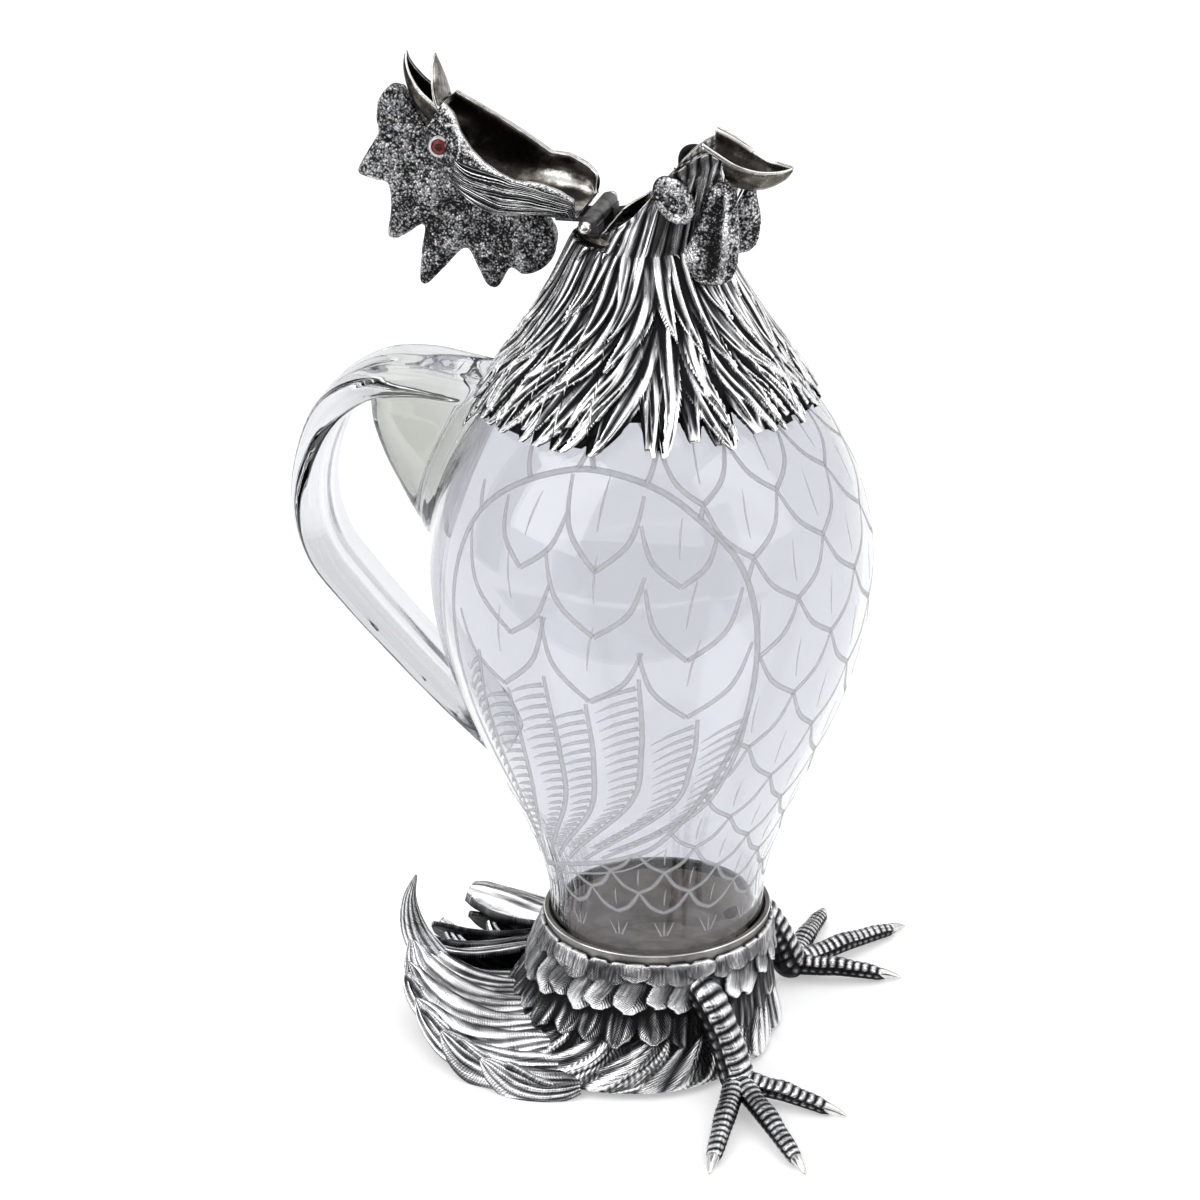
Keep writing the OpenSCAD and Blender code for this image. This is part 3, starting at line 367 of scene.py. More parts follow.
def clear_glass(name, tint, shadow_tint, ripples_per_mm):
    material, tree, shader = new_material(name)
    ripples = object_noise(tree, ripples_per_mm, 2)
    bump = put(tree, "ShaderNodeBump", {"Strength": 0.06, "Distance": 0.6 * MM, "Height": ripples})
    roughness = ramp(tree, ripples, [(0.4, 0.0), (0.9, 0.03)])
    wire(tree, shader, {"Base Color": (*tint, 1), "Roughness": roughness, "Transmission Weight": 1,
                        "IOR": 1.47, "Normal": bump.outputs[0]})
    clear = put(tree, "ShaderNodeBsdfTransparent", {"Color": (*shadow_tint, 1)})
    to_surface(tree, put(tree, "ShaderNodeLightPath").outputs["Is Shadow Ray"], shader, clear)
    return material


def matt_cut():
    """Ground glass, which scatters light from both sides and lets about half of the view through."""
    material, tree, shader = new_material("matt_cut")
    tone = ramp(tree, object_noise(tree, 0.5, 3), [(0.3, (0.7, 0.7, 0.71)), (0.7, (0.82, 0.82, 0.83))])
    front = put(tree, "ShaderNodeBsdfDiffuse", {"Color": tone})
    behind = put(tree, "ShaderNodeBsdfTranslucent", {"Color": tone})
    ground = put(tree, "ShaderNodeMixShader", {0: 0.55, 1: front.outputs[0], 2: behind.outputs[0]})
    clear = put(tree, "ShaderNodeBsdfTransparent", {"Color": (0.97, 0.97, 0.98, 1)})
    to_surface(tree, ramp(tree, polish_of(tree), [(0.0, 0.68), (0.9, 0.42)]), ground, clear)
    tree.nodes.remove(shader)
    return material


def warm_near(material, place, reach, tint, warm):
    """Turns a glass towards a warmer tint near a place, where it is thick."""
    tree = material.node_tree
    away = sum_of(tree, distance_to(tree, place), 0.5 / (reach * MM), 0.0)
    tone = ramp(tree, away, [(0.3, warm), (0.55, tint)])
    tree.links.new(tone, tree.nodes["Principled BSDF"].inputs["Base Color"])


HANDLE_TINT = (0.7, 0.705, 0.735)
HANDLE_BEND = (-66, 0, 184)
BODY_GLASS = clear_glass("body_glass", (0.735, 0.742, 0.775), (0.9, 0.9, 0.92), 0.02)
HANDLE_GLASS = clear_glass("handle_glass", HANDLE_TINT, (0.9, 0.9, 0.91), 0.03)
MATT_CUT = matt_cut()
warm_near(HANDLE_GLASS, HANDLE_BEND, 26, HANDLE_TINT, (0.47, 0.48, 0.45))
print("Glass finishes:", [m.name for m in (BODY_GLASS, HANDLE_GLASS, MATT_CUT)])

# %% [markdown]
# A casting is many closed solids in one object: each feather, toe or strand is a ring of points
# carried along a line and capped at both ends. Collecting them first and making the object once
# is quick. Each solid is turned right side out by the sign of its own volume, so a mirrored
# copy needs no care.

# %% Castings
class Casting:
    """Collects closed solids and makes one object of them."""

    def __init__(self):
        self.points, self.faces, self.polish, self.lay = [], [], [], []
        self.count = 0

    def add(self, rings, polish=0.5, lay=None, loop=False):
        """rings is rows x columns x 3, closed round, and capped at its ends or closed in a loop."""
        rows, cols = rings.shape[:2]
        index = np.arange(rows * cols).reshape(rows, cols)
        used, following = (index, np.roll(index, -1, 0)) if loop else (index[:-1], index[1:])
        quads = np.stack([used, np.roll(used, -1, 1), np.roll(following, -1, 1), following], -1)
        caps = [] if loop else [index[0, ::-1].tolist(), index[-1].tolist()]
        polish = np.broadcast_to(polish, (rows, cols)).reshape(-1)
        self.add_mesh(rings.reshape(-1, 3), quads.reshape(-1, 4), caps, polish, lay)

    def add_mesh(self, points, quads, others, polish=0.5, lay=None):
        """Adds a closed solid of quads and some other faces, right side out."""
        centred = points - points.mean(0)
        a, b, c, d = (centred[quads[:, k]] for k in range(4))
        volume = np.einsum("ij,ij->", a, np.cross(b, c)) + np.einsum("ij,ij->", a, np.cross(c, d))
        if volume < 0:
            quads = quads[:, ::-1]
            others = [face[::-1] for face in others]
        self.faces += (quads + self.count).tolist() + [[i + self.count for i in face] for face in others]
        self.points.append(points)
        self.polish.append(np.broadcast_to(polish, len(points)))
        self.lay.append(points if lay is None else lay.reshape(-1, 3))
        self.count += len(points)

    def mirrored(self):
        """The same casting on the other side of the middle plane."""
        other = Casting()
        other.points = [p * (1, -1, 1) for p in self.points]
        other.faces = [face[::-1] for face in self.faces]
        other.polish, other.lay, other.count = self.polish, self.lay, self.count
        return other

    def raise_to(self, floor):
        """Moves every point below a height up to it."""
        self.points = [np.maximum(p, (-np.inf, -np.inf, floor)) for p in self.points]

    def make(self, name, body, slot, material, replaces=()):
        mesh = bpy.data.meshes.new(name)
        points = np.concatenate(self.points) * MM
        mesh.from_pydata(points.tolist(), [], self.faces)
        mesh.shade_smooth()
        worn = mesh.attributes.new("polish", "FLOAT", "POINT")
        worn.data.foreach_set("value", np.concatenate(self.polish).astype(np.float32))
        lie = mesh.attributes.new("lay", "FLOAT_VECTOR", "POINT")
        lie.data.foreach_set("vector", np.concatenate(self.lay).astype(np.float32).ravel())
        mesh.materials.append(material)
        made = placed(name, mesh)
        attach(made, body)
        if replaces:
            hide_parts(*replaces)
        print(f"{name}: {len(self.faces)} faces")
        return made


# %% [markdown]
# A feather is a blade on a curved line. Its outline is a width that changes along the line, its
# section is crowned, and an odd number of rounded locks with sharp valleys between run its length,
# of uneven height as a chaser's are. The valleys are modelled and recorded as unpolished, and the
# finish adds the hair lines.

# %% Feathers
def feather(casting, spine, normal, width, outline, crown, locks, depth, thick, across, base_polish, phase,
            wavy=0.12):
    """Adds a blade along spine, rows x 3, with the outward normal of what it lies on at each row."""
    s = np.linspace(0, 1, len(spine))[:, None]
    v = np.linspace(-1, 1, across)
    tangent = unit(np.gradient(spine, axis=0))
    side = unit(np.cross(normal, tangent))
    out = unit(np.cross(tangent, side))
    half = profile(outline, s) * width / 2
    bent = v + wavy * np.sin(4 * s + phase) * (1 - v**2)
    lock = np.abs(np.cos(math.pi / 2 * locks * bent)) ** 0.6
    uneven = 0.75 + 0.35 * np.sin(2.3 * locks * bent + 3 * phase) * np.sin(3 * s + phase)
    fade = smooth(s / 0.15) * smooth((1 - s) / 0.1)
    height = crown * half * (1 - v**2) + fade * depth * (lock * uneven - 0.7)
    flat = side[:, None] * (half * v)[..., None]
    top = spine[:, None] + flat + out[:, None] * height[..., None]
    under = spine[:, None] + 0.94 * flat - out[:, None] * thick
    worn = base_polish + lock**2 * uneven + 0.2 * (s - 0.5)
    lay = np.stack(np.broadcast_arrays(half * v, run_of(spine)[:, None], 7.0 * phase), -1)
    casting.add(np.concatenate([top, under[:, ::-1]], 1), np.concatenate([worn, 0 * worn], 1),
                np.concatenate([lay, lay[:, ::-1]], 1))


print("Feathers ready")

# %% [markdown]
# The glass outline is three curves: the belly swells from the waist, the shoulder is part of an
# ellipse, and a short fillet turns it into the neck. Every point of silver or engraving that lies on
# the glass asks this outline for its radius, so nothing floats or sinks.

# %% The outline of the glass
CEMENT = 0.6
glass_low, glass_high = node_box("glass_body")
BELLY_R = glass_high[0]
GLASS_FOOT_Z = glass_low[2]
NECK_TOP_Z = glass_high[2]
NECK_R = node_box("neck_cement")[1][0] - CEMENT
WAIST_R = node_box("base_cement")[1][0] - CEMENT
WAIST_Z = 46
BELLY_Z = 152
SHOULDER_H = 69
TURN_Z = 208
WALL = 3
FLOOR_T = 9
GLASS_STEP = 0.2
TURN_R = BELLY_R * math.sqrt(1 - ((TURN_Z - BELLY_Z) / SHOULDER_H) ** 2)
TURN_SLOPE = (BELLY_R / SHOULDER_H) ** 2 * (TURN_Z - BELLY_Z) / TURN_R
KNEE_Z = TURN_Z + (TURN_R - NECK_R) / TURN_SLOPE
TURN_END_Z = KNEE_Z + (KNEE_Z - TURN_Z) / 2
knee_t = np.linspace(0, 1, 33)[:, None]
turn_in, corner, turn_out = np.array([(TURN_R, TURN_Z), (NECK_R, KNEE_Z), (NECK_R, TURN_END_Z)])
knee = mix(mix(turn_in, corner, knee_t), mix(corner, turn_out, knee_t), knee_t)


def glass_r(z):
    """Outside radius of the glass at a height."""
    z = np.asarray(z, float)
    rise = np.clip((z - WAIST_Z) / (BELLY_Z - WAIST_Z), 0, 1) ** 0.85
    swell = mix(WAIST_R, BELLY_R, 0.5 - 0.5 * np.cos(math.pi * rise))
    shoulder = BELLY_R * np.sqrt(np.clip(1 - ((z - BELLY_Z) / SHOULDER_H) ** 2, 0.04, 1))
    turned = np.interp(z, knee[:, 1], knee[:, 0])
    return np.where(z <= BELLY_Z, swell, np.where(z <= TURN_Z, shoulder, turned))


def on_glass(angle, z):
    """Points on the glass at angles in degrees and heights, and their outward normals."""
    angle = np.radians(angle)
    slope = (glass_r(z + GLASS_STEP) - glass_r(z - GLASS_STEP)) / (2 * GLASS_STEP)
    normal = unit(np.stack([np.cos(angle), np.sin(angle), -slope], -1))
    return axial(glass_r(z), angle, z), normal


print("Radius of belly and neck, end of the turn:", [round(v, 1) for v in (BELLY_R, NECK_R, TURN_END_Z)])

# %% [markdown]
# The body is turned like a pot: the outline goes up the outside and down the inside, and is spun
# round the axis. The inside is the outside drawn in by the wall along its normals, so that the glass
# keeps an even wall. Inside the silver base the glass stands a hair clear of its cement, because
# two surfaces in the same place render as noise.

# %% The blown body
TURNS = 160
HAIR = 0.05
# The radius at which the outline stops short of the axis
POLE = 0.01


def spun(outline, turns):
    """A closed outline of radius and height, spun into rings of points, one ring for each angle."""
    r, z = np.array(outline).T
    return axial(r, np.linspace(0, math.tau, turns, endpoint=False)[:, None], z)


def make_glass_body():
    z = np.concatenate([np.linspace(WAIST_Z, BELLY_Z, 64), np.linspace(BELLY_Z, TURN_Z, 36)[1:],
                        np.linspace(TURN_Z, TURN_END_Z, 24)[1:], [NECK_TOP_Z - 1]])
    outside = np.stack([glass_r(z), z], -1)
    along = unit(np.gradient(outside, axis=0))
    inside = outside + np.stack([-along[:, 1], along[:, 0]], -1) * WALL
    foot_r, floor_z = WAIST_R - HAIR, GLASS_FOOT_Z + FLOOR_T
    outline = np.concatenate([
        [(POLE, GLASS_FOOT_Z + HAIR), (WAIST_R - 2, GLASS_FOOT_Z + HAIR), (foot_r, GLASS_FOOT_Z + 2),
         (foot_r, WAIST_Z - 5)],
        outside[1:], [(NECK_R - 0.5, NECK_TOP_Z), (NECK_R - WALL + 0.5, NECK_TOP_Z)], inside[:0:-1],
        [(WAIST_R - WALL, floor_z + 4), (WAIST_R - WALL - 1.5, floor_z + 1), (WAIST_R - WALL - 5, floor_z),
         (POLE, floor_z)]])
    ring = spun(outline, TURNS)
    rows, cols = ring.shape[:2]
    index = np.arange(rows * cols).reshape(rows, cols)
    after = np.roll(index, -1, 0)
    quads = np.stack([index[:, :-1], after[:, :-1], after[:, 1:], index[:, 1:]], -1).reshape(-1, 4)
    body = Casting()
    body.add_mesh(ring.reshape(-1, 3), quads, [index[::-1, 0].tolist(), index[:, -1].tolist()])
    body.make("glass_body_blown", "jug", "clear_glass", BODY_GLASS, ["glass_body"])


make_glass_body()

# %% [markdown]
# The engraver cut a folded wing on each side and pointed scale feathers over the breast. Each cut is
# a thin sliver with a ridge, laid on the glass. Its record of polish is nothing at the edges and
# full at the ridge, and the matt finish turns that into a soft edge. Places are angles
# forward of the wing's middle and heights, so one list serves both wings.

# %% Cut lines
CUT_PROUD = 0.03
CUT_RIDGE = 0.1
WING_ANGLE = -90


def cut_line(casting, angle, z, width, steps=14):
    """One cut through a few (angle, height) points, with its widths along the way."""
    t = np.linspace(0, 1, steps)
    place = curve(np.stack([angle, z], -1), t)
    middle, normal = on_glass(place[:, 0], place[:, 1])
    side = unit(np.cross(normal, unit(np.gradient(middle, axis=0)))) * profile(width, t)[:, None] / 2
    rings = np.stack([middle - side + normal * CUT_PROUD, middle + normal * CUT_RIDGE,
                      middle + side + normal * CUT_PROUD], 1)
    casting.add(rings, np.array([[0.0, 1.0, 0.0]]))


def bowed(start, end, bow):
    """Three points from start to end, with the middle pushed aside by a share of the length."""
    start, end = np.array(start, float), np.array(end, float)
    way = end - start
    return np.array([start, (start + end) / 2 + np.array([way[1], -way[0]]) * bow, end])


print("Cuts stand", CUT_RIDGE, "mm proud of the glass at the ridge")

# %% [markdown]
# A wing is an outline, three rows of pointed covert feathers, and seven flight feathers that gather
# towards the tip. Each flight feather is a shaft with a row of barbs that run back and down from it.

# %% The wings
# The wing's outline from its tip up the back, over the top and down the front
WING = np.array([
    (-52, 62), (-47, 80), (-46, 104), (-46, 135), (-45, 160), (-40, 179), (-28, 190), (-10, 196), (6, 195.5),
    (20, 191), (31, 182), (38, 172), (41, 158), (41, 140), (38, 120), (29, 98), (16, 82), (0, 75), (-24, 69),
    (-52, 62)])
# Each covert feather: its upper left corner, its tip and its upper right corner
COVERTS = [
    ((-30, 187), (-21, 170), (-9, 187)), ((-10, 195), (0, 172), (13, 191)), ((12, 184), (22, 168), (33, 181)),
    ((-41, 177), (-23, 151), (-12, 167)), ((-14, 176), (0, 154), (13, 171)),
    ((13, 168), (23, 147), (38, 166)), ((-42, 152), (-27, 134), (-13, 158)),
    ((-14, 158), (-2, 134), (12, 150)), ((11, 150), (23, 129), (40, 150))]
# Shafts of the flight feathers, from the last coverts to the gathered tip
SHAFTS = [
    [(-35, 142), (-38, 114), (-41, 90), (-48, 67)], [(-26, 133), (-26, 116), (-31, 94), (-47, 66)],
    [(-14, 140), (-13, 115), (-18, 93), (-40, 68)], [(-3, 133), (-3, 113), (-9, 92), (-34, 69.5)],
    [(11, 142), (11, 118), (5, 96), (-27, 70.5)], [(26, 128), (25, 112), (18, 95), (-18, 72)],
    [(40, 128), (37, 109), (27, 92), (-9, 74)]]
BARB_GAP = 3.3
# Widths of the cuts along their length
OUTLINE_CUT = [1.9, 1.9]
FOLD_CUT = [0.5, 1.0, 0.4]
COVERT_CUTS = [1.0, 1.6, 1.5], [1.5, 1.6, 1.0]
RIB_CUT = [0.3, 0.7, 0.3]
SHAFT_CUT = [1.2, 1.7, 1.6, 1.1]
BARB_CUT = [1.6, 1.15, 0.3]
# Millimetres of glass in one degree of the wing, roughly
DEGREE_MM = 0.9


def in_wing(angle, z):
    """True where a point lies inside either wing."""
    inside = np.zeros(np.shape(angle), bool)
    for forward in (angle - WING_ANGLE, -angle - WING_ANGLE):
        within = np.zeros(np.shape(angle), bool)
        for (x0, y0), (x1, y1) in zip(WING[:-1], WING[1:]):
            crosses = (y0 > z) != (y1 > z)
            within ^= crosses & (forward < x0 + (z - y0) * (x1 - x0) / (y1 - y0 or 1))
        inside |= within
    return inside


def cut_wing(casting, turn):
    def cut(points, width, steps=14):
        points = np.array(points, float)
        cut_line(casting, turn * (points[:, 0] + WING_ANGLE), points[:, 1], width, steps)

    cut(WING, OUTLINE_CUT, 90)
    cut([(-48, 60), (-24, 65.5), (2, 71), (18, 79)], FOLD_CUT, 24)
    for left, tip, right_corner in COVERTS:
        for start, end, width in zip((left, tip), (tip, right_corner), COVERT_CUTS):
            cut(bowed(start, end, 0.13), width)
        top = ((left[0] + right_corner[0]) / 2 + 1, (left[1] + right_corner[1]) / 2 + 3)
        cut(bowed(top, (tip[0], mix(tip[1], top[1], 0.42)), 0.03), RIB_CUT, 6)
    for k, shaft in enumerate(SHAFTS):
        cut(shaft, SHAFT_CUT, 30)
        line = curve(shaft, np.linspace(0.04, 0.9, 60))
        run = run_of(line * (DEGREE_MM, 1))
        for d in np.arange(1.5, run[-1], BARB_GAP):
            x, z = np.interp(d, run, line[:, 0]), np.interp(d, run, line[:, 1])
            share = d / run[-1]
            reach = mix(12.5, 6.5, share) if k else mix(6, 3, share)
            drop = mix(5.5, 1.0, share)
            barb = [(x - 0.8, z + 0.4), (x - 0.55 * reach, z - 0.35 * drop), (x - reach, z - drop)]
            cut(barb, BARB_CUT, 6)


print("A wing has", len(COVERTS), "coverts and", len(SHAFTS), "flight feathers")

# %% [markdown]
# Scale feathers stand in rings, each ring half a feather round from the one above. A scale is two
# bowed cuts that meet at its tip, with a short rib between. The cuts stop where a wing begins, and
# the lowest ring gets small fans under its tips.

# %% The scale feathers
SCALE_COLUMNS = 15
# Heights of the tips of the scale feathers, from the shoulder down
SCALE_TIPS = [202, 188, 173, 159, 145, 130, 115, 101, 89, 79, 70, 62, 54.5]
# Behind this angle only the lowest scales go on, and the handle has the rest of the room
BACK_ANGLE = 128
FAN_Z = np.array([46.5, 51.0])
SCALE_CUT = [1.6, 1.5, 1.0]
SCALE_RIB_CUT = [0.2, 0.6, 0.3]
FAN_CUT = [0.8, 0.3]


def cut_scales(casting):
    pitch = 360 / SCALE_COLUMNS
    for i, tip_z in enumerate(SCALE_TIPS):
        above = SCALE_TIPS[i - 1] if i else tip_z + 14
        for k in range(SCALE_COLUMNS):
            angle = ((k + i % 2 / 2) * pitch + 180) % 360 - 180
            if abs(angle) > BACK_ANGLE and tip_z > 80:
                continue
            for corner in (-1, 1):
                bow = bowed((angle, tip_z), (angle + corner * pitch / 2, above), 0.11 * corner)
                t = curve(bow, np.linspace(0, 1, 24))
                clear = ~in_wing(t[:, 0], t[:, 1])
                if clear.sum() > 5:
                    kept = t[clear]
                    cut_line(casting, kept[:, 0], kept[:, 1], SCALE_CUT, 12)
            rib = bowed((angle + 0.8, mix(tip_z, above, 1.15)), (angle, mix(tip_z, above, 0.35)), 0.04)
            if not in_wing(rib[:, 0], rib[:, 1]).any():
                cut_line(casting, rib[:, 0], rib[:, 1], SCALE_RIB_CUT, 6)
            if i == len(SCALE_TIPS) - 1:
                for fan in (-1, 0, 1):
                    spread = np.array([angle + 1.5 * fan, angle + 5 * fan])
                    cut_line(casting, spread, FAN_Z, FAN_CUT, 4)


def make_engraving():
    lines = Casting()
    for turn in (1, -1):
        cut_wing(lines, turn)
    cut_scales(lines)
    made = lines.make("engraved_feathers", "jug", "clear_glass", MATT_CUT)
    # The cuts of the far side stay out of the view through two walls of glass, as in the photograph
    made.visible_transmission = False


make_engraving()

# %% [markdown]
# The handle is one gather of hot glass, drawn out to a reeded strap, stuck low on the body, bent
# over and pressed down the shoulder. Melted glass has no seam, so solids that overlap are remeshed
# into one skin. Comb and earlobes are melted together in the same way.

# %% Remeshing
def remeshed(casting, voxel, rounds):
    """The casting's solids melted into one skin, as points and faces in millimetres."""
    mesh = bpy.data.meshes.new("melt")
    mesh.from_pydata(np.concatenate(casting.points).tolist(), [], casting.faces)
    made = placed("melt", mesh)
    melt = made.modifiers.new("melt", "REMESH")
    melt.mode = "VOXEL"
    melt.voxel_size = voxel
    relax = made.modifiers.new("relax", "SMOOTH")
    relax.factor = 0.5
    relax.iterations = rounds
    skin = bpy.data.meshes.new_from_object(made.evaluated_get(bpy.context.evaluated_depsgraph_get()))
    points = np.empty(len(skin.vertices) * 3)
    skin.vertices.foreach_get("co", points)
    faces = np.array([face.vertices[:] for face in skin.polygons])
    bpy.data.objects.remove(made)
    bpy.data.meshes.remove(mesh)
    bpy.data.meshes.remove(skin)
    return points.reshape(-1, 3), faces


print("Remeshing ready")

# %% [markdown]
# The strap is a line of reeded sections. Under its bend a tongue lies down the shoulder, thick in
# the middle and beaded at the sides. What would lie inside the body is laid back on its surface.

# %% The glass handle
REEDS = 3
# The strap's middle line in the middle plane, from the shoulder round to the foot
STRAP_LINE = [(-41, 200), (-52, 201.5), (-66, 203), (-79, 201), (-90.6, 192.5), (-97.2, 179), (-99.6, 163),
              (-96, 148), (-86.3, 135), (-73.5, 120.5), (-59.5, 105.5), (-43.5, 89.5)]
STRAP_WIDTH = [24, 26, 27, 26.5, 26, 26, 26, 26, 25.5, 24.5, 23, 20]
STRAP_THICK = [8, 8.6, 9.4, 10, 10, 9.4, 9.4, 9.4, 9, 8.6, 8.4, 8]
STRAP_ROWS = 90
# The tongue from the top down: height, width, thickness under the strap
TONGUE = [(202, 30, 7), (196, 35, 19), (188, 38, 28), (181, 38, 26), (174, 36, 19.5), (167, 30, 12.5),
          (159, 19, 6), (152.5, 3, 1)]
MELT_MM = 0.62
MELT_ROUNDS = 18


def reeded(v, thick, valley):
    """Half thickness across the strap: round edges, and shallow valleys between the reeds."""
    wave = mix(valley, 1, np.sin(math.pi * REEDS * v) ** 2)
    inner = (v > 0.5 / REEDS) & (v < 1 - 0.5 / REEDS)
    return np.sqrt(1 - np.abs(2 * v - 1) ** 5) * np.where(inner, wave, 1) * thick / 2


def strap_rings(v):
    t = np.linspace(0, 1, STRAP_ROWS)
    line = curve(STRAP_LINE, t)
    tangent = unit(np.gradient(line, axis=0))
    valley = mix(0.55, 0.86, smooth((np.arange(STRAP_ROWS) - 12) / 30))
    half = reeded(v, profile(STRAP_THICK, t)[:, None], valley[:, None])
    x, z, out_x, out_z = (c[:, None] for c in (*line.T, -tangent[:, 1], tangent[:, 0]))
    aside = (v - 0.5) * profile(STRAP_WIDTH, t)[:, None]
    top = np.stack([x + out_x * half, aside, z + out_z * half], -1)
    under = np.stack([x - out_x * half, aside, z - out_z * half], -1)
    return np.concatenate([top, under[:, ::-1]], 1)


def tongue_rings(q):
    """The pad under the strap: a thin rim, a wedge in the middle and a bead along each side."""
    rings = []
    for z, w, thick in curve(TONGUE, np.linspace(0, 1, 60)):
        base, out = on_glass(180 + np.degrees(q * w / 2 / glass_r(z)), np.full_like(q, z))
        rim = 0.6 + 1.8 * np.sqrt(1 - q**2) * min(1, w / 12)
        wedge = max(0.0, thick - 2.4) * np.clip(1 - (q / 0.62) ** 2, 0, 1)
        h = rim + wedge + 1.5 * bell(np.abs(q) - 0.7, 0.13) * smooth((w - 6) / 12)
        rings.append(np.concatenate([base + out * h[:, None], (base - out * 1.5)[::-1]]))
    return np.array(rings)


def make_handle():
    glass = Casting()
    v = np.linspace(0, 1, 34)
    glass.add(strap_rings(v))
    glass.add(tongue_rings(2 * v - 1))
    points, faces = remeshed(glass, MELT_MM, MELT_ROUNDS)
    radius = np.hypot(points[:, 0], points[:, 1])
    limit = glass_r(points[:, 2]) + HAIR
    sunk = (radius < limit) & (points[:, 2] > WAIST_Z)
    points[sunk, :2] *= (limit[sunk] / radius[sunk])[:, None]
    backs = points[:, 0].min(), node_box("glass_handle")[0][0]
    print("Back of the handle here and in the packed model:", [round(x, 1) for x in backs])
    melted = Casting()
    melted.add_mesh(points, faces, [])
    melted.make("glass_handle_reeded", "jug", "handle_glass", HANDLE_GLASS, ["glass_handle"])


make_handle()

# %% [markdown]
# Chased plumage is one skin of metal, not loose blades. The skin is a fine grid over a surface that
# a function describes by an angle and a share of the way down. Each feather raises the points
# inside its outline to its own crowned and ridged height, and the highest feather wins. What stands
# above its surroundings was reached by the polishing wheel, so the record of polish comes from the
# finished relief itself, and each tier adds its own offset of tone to it. On the straight middle row
# of the base that offset is painted shade.

# %% Skins of metal
PROBE = 0.01


def over_surface(place, angle, t, lift):
    """Points lifted off a surface, with its outward normals."""
    across = place(angle + PROBE, t) - place(angle - PROBE, t)
    down = place(angle, t + PROBE) - place(angle, t - PROBE)
    normal = unit(np.cross(down, across))
    return place(angle, t) + normal * np.broadcast_to(lift, np.shape(angle))[..., None], normal


def blurred(values, reach):
    """A running mean over rows and, round the ring, over columns."""
    wide = 2 * reach + 1
    for mode in ("edge", "wrap"):
        padded = np.pad(values, [(reach, reach), (0, 0)], mode=mode)
        total = np.cumsum(np.concatenate([0 * padded[:1], padded]), 0)
        values = ((total[wide:] - total[:-wide]) / wide).T
    return values


def close_skin(casting, points, normal, polish, lay, thick, keep=12):
    """Closes a relief with an inner side some way behind it, made of fewer rows."""
    used = sorted({0, *range(len(points) - 1, 0, -keep)})[::-1]
    inner = points[used] - normal[used] * thick
    casting.add(np.concatenate([points, inner]), np.concatenate([polish, 0 * polish[used]]),
                np.concatenate([lay, lay[used]]), loop=True)


print("Skins ready")

# %% [markdown]
# A tier is a ring of feathers of one kind, with chance in where each one lies, how it bends and how
# its locks run. The grid is raised twice: once to find the lowest tips, and once with its last row
# drawn down to them.

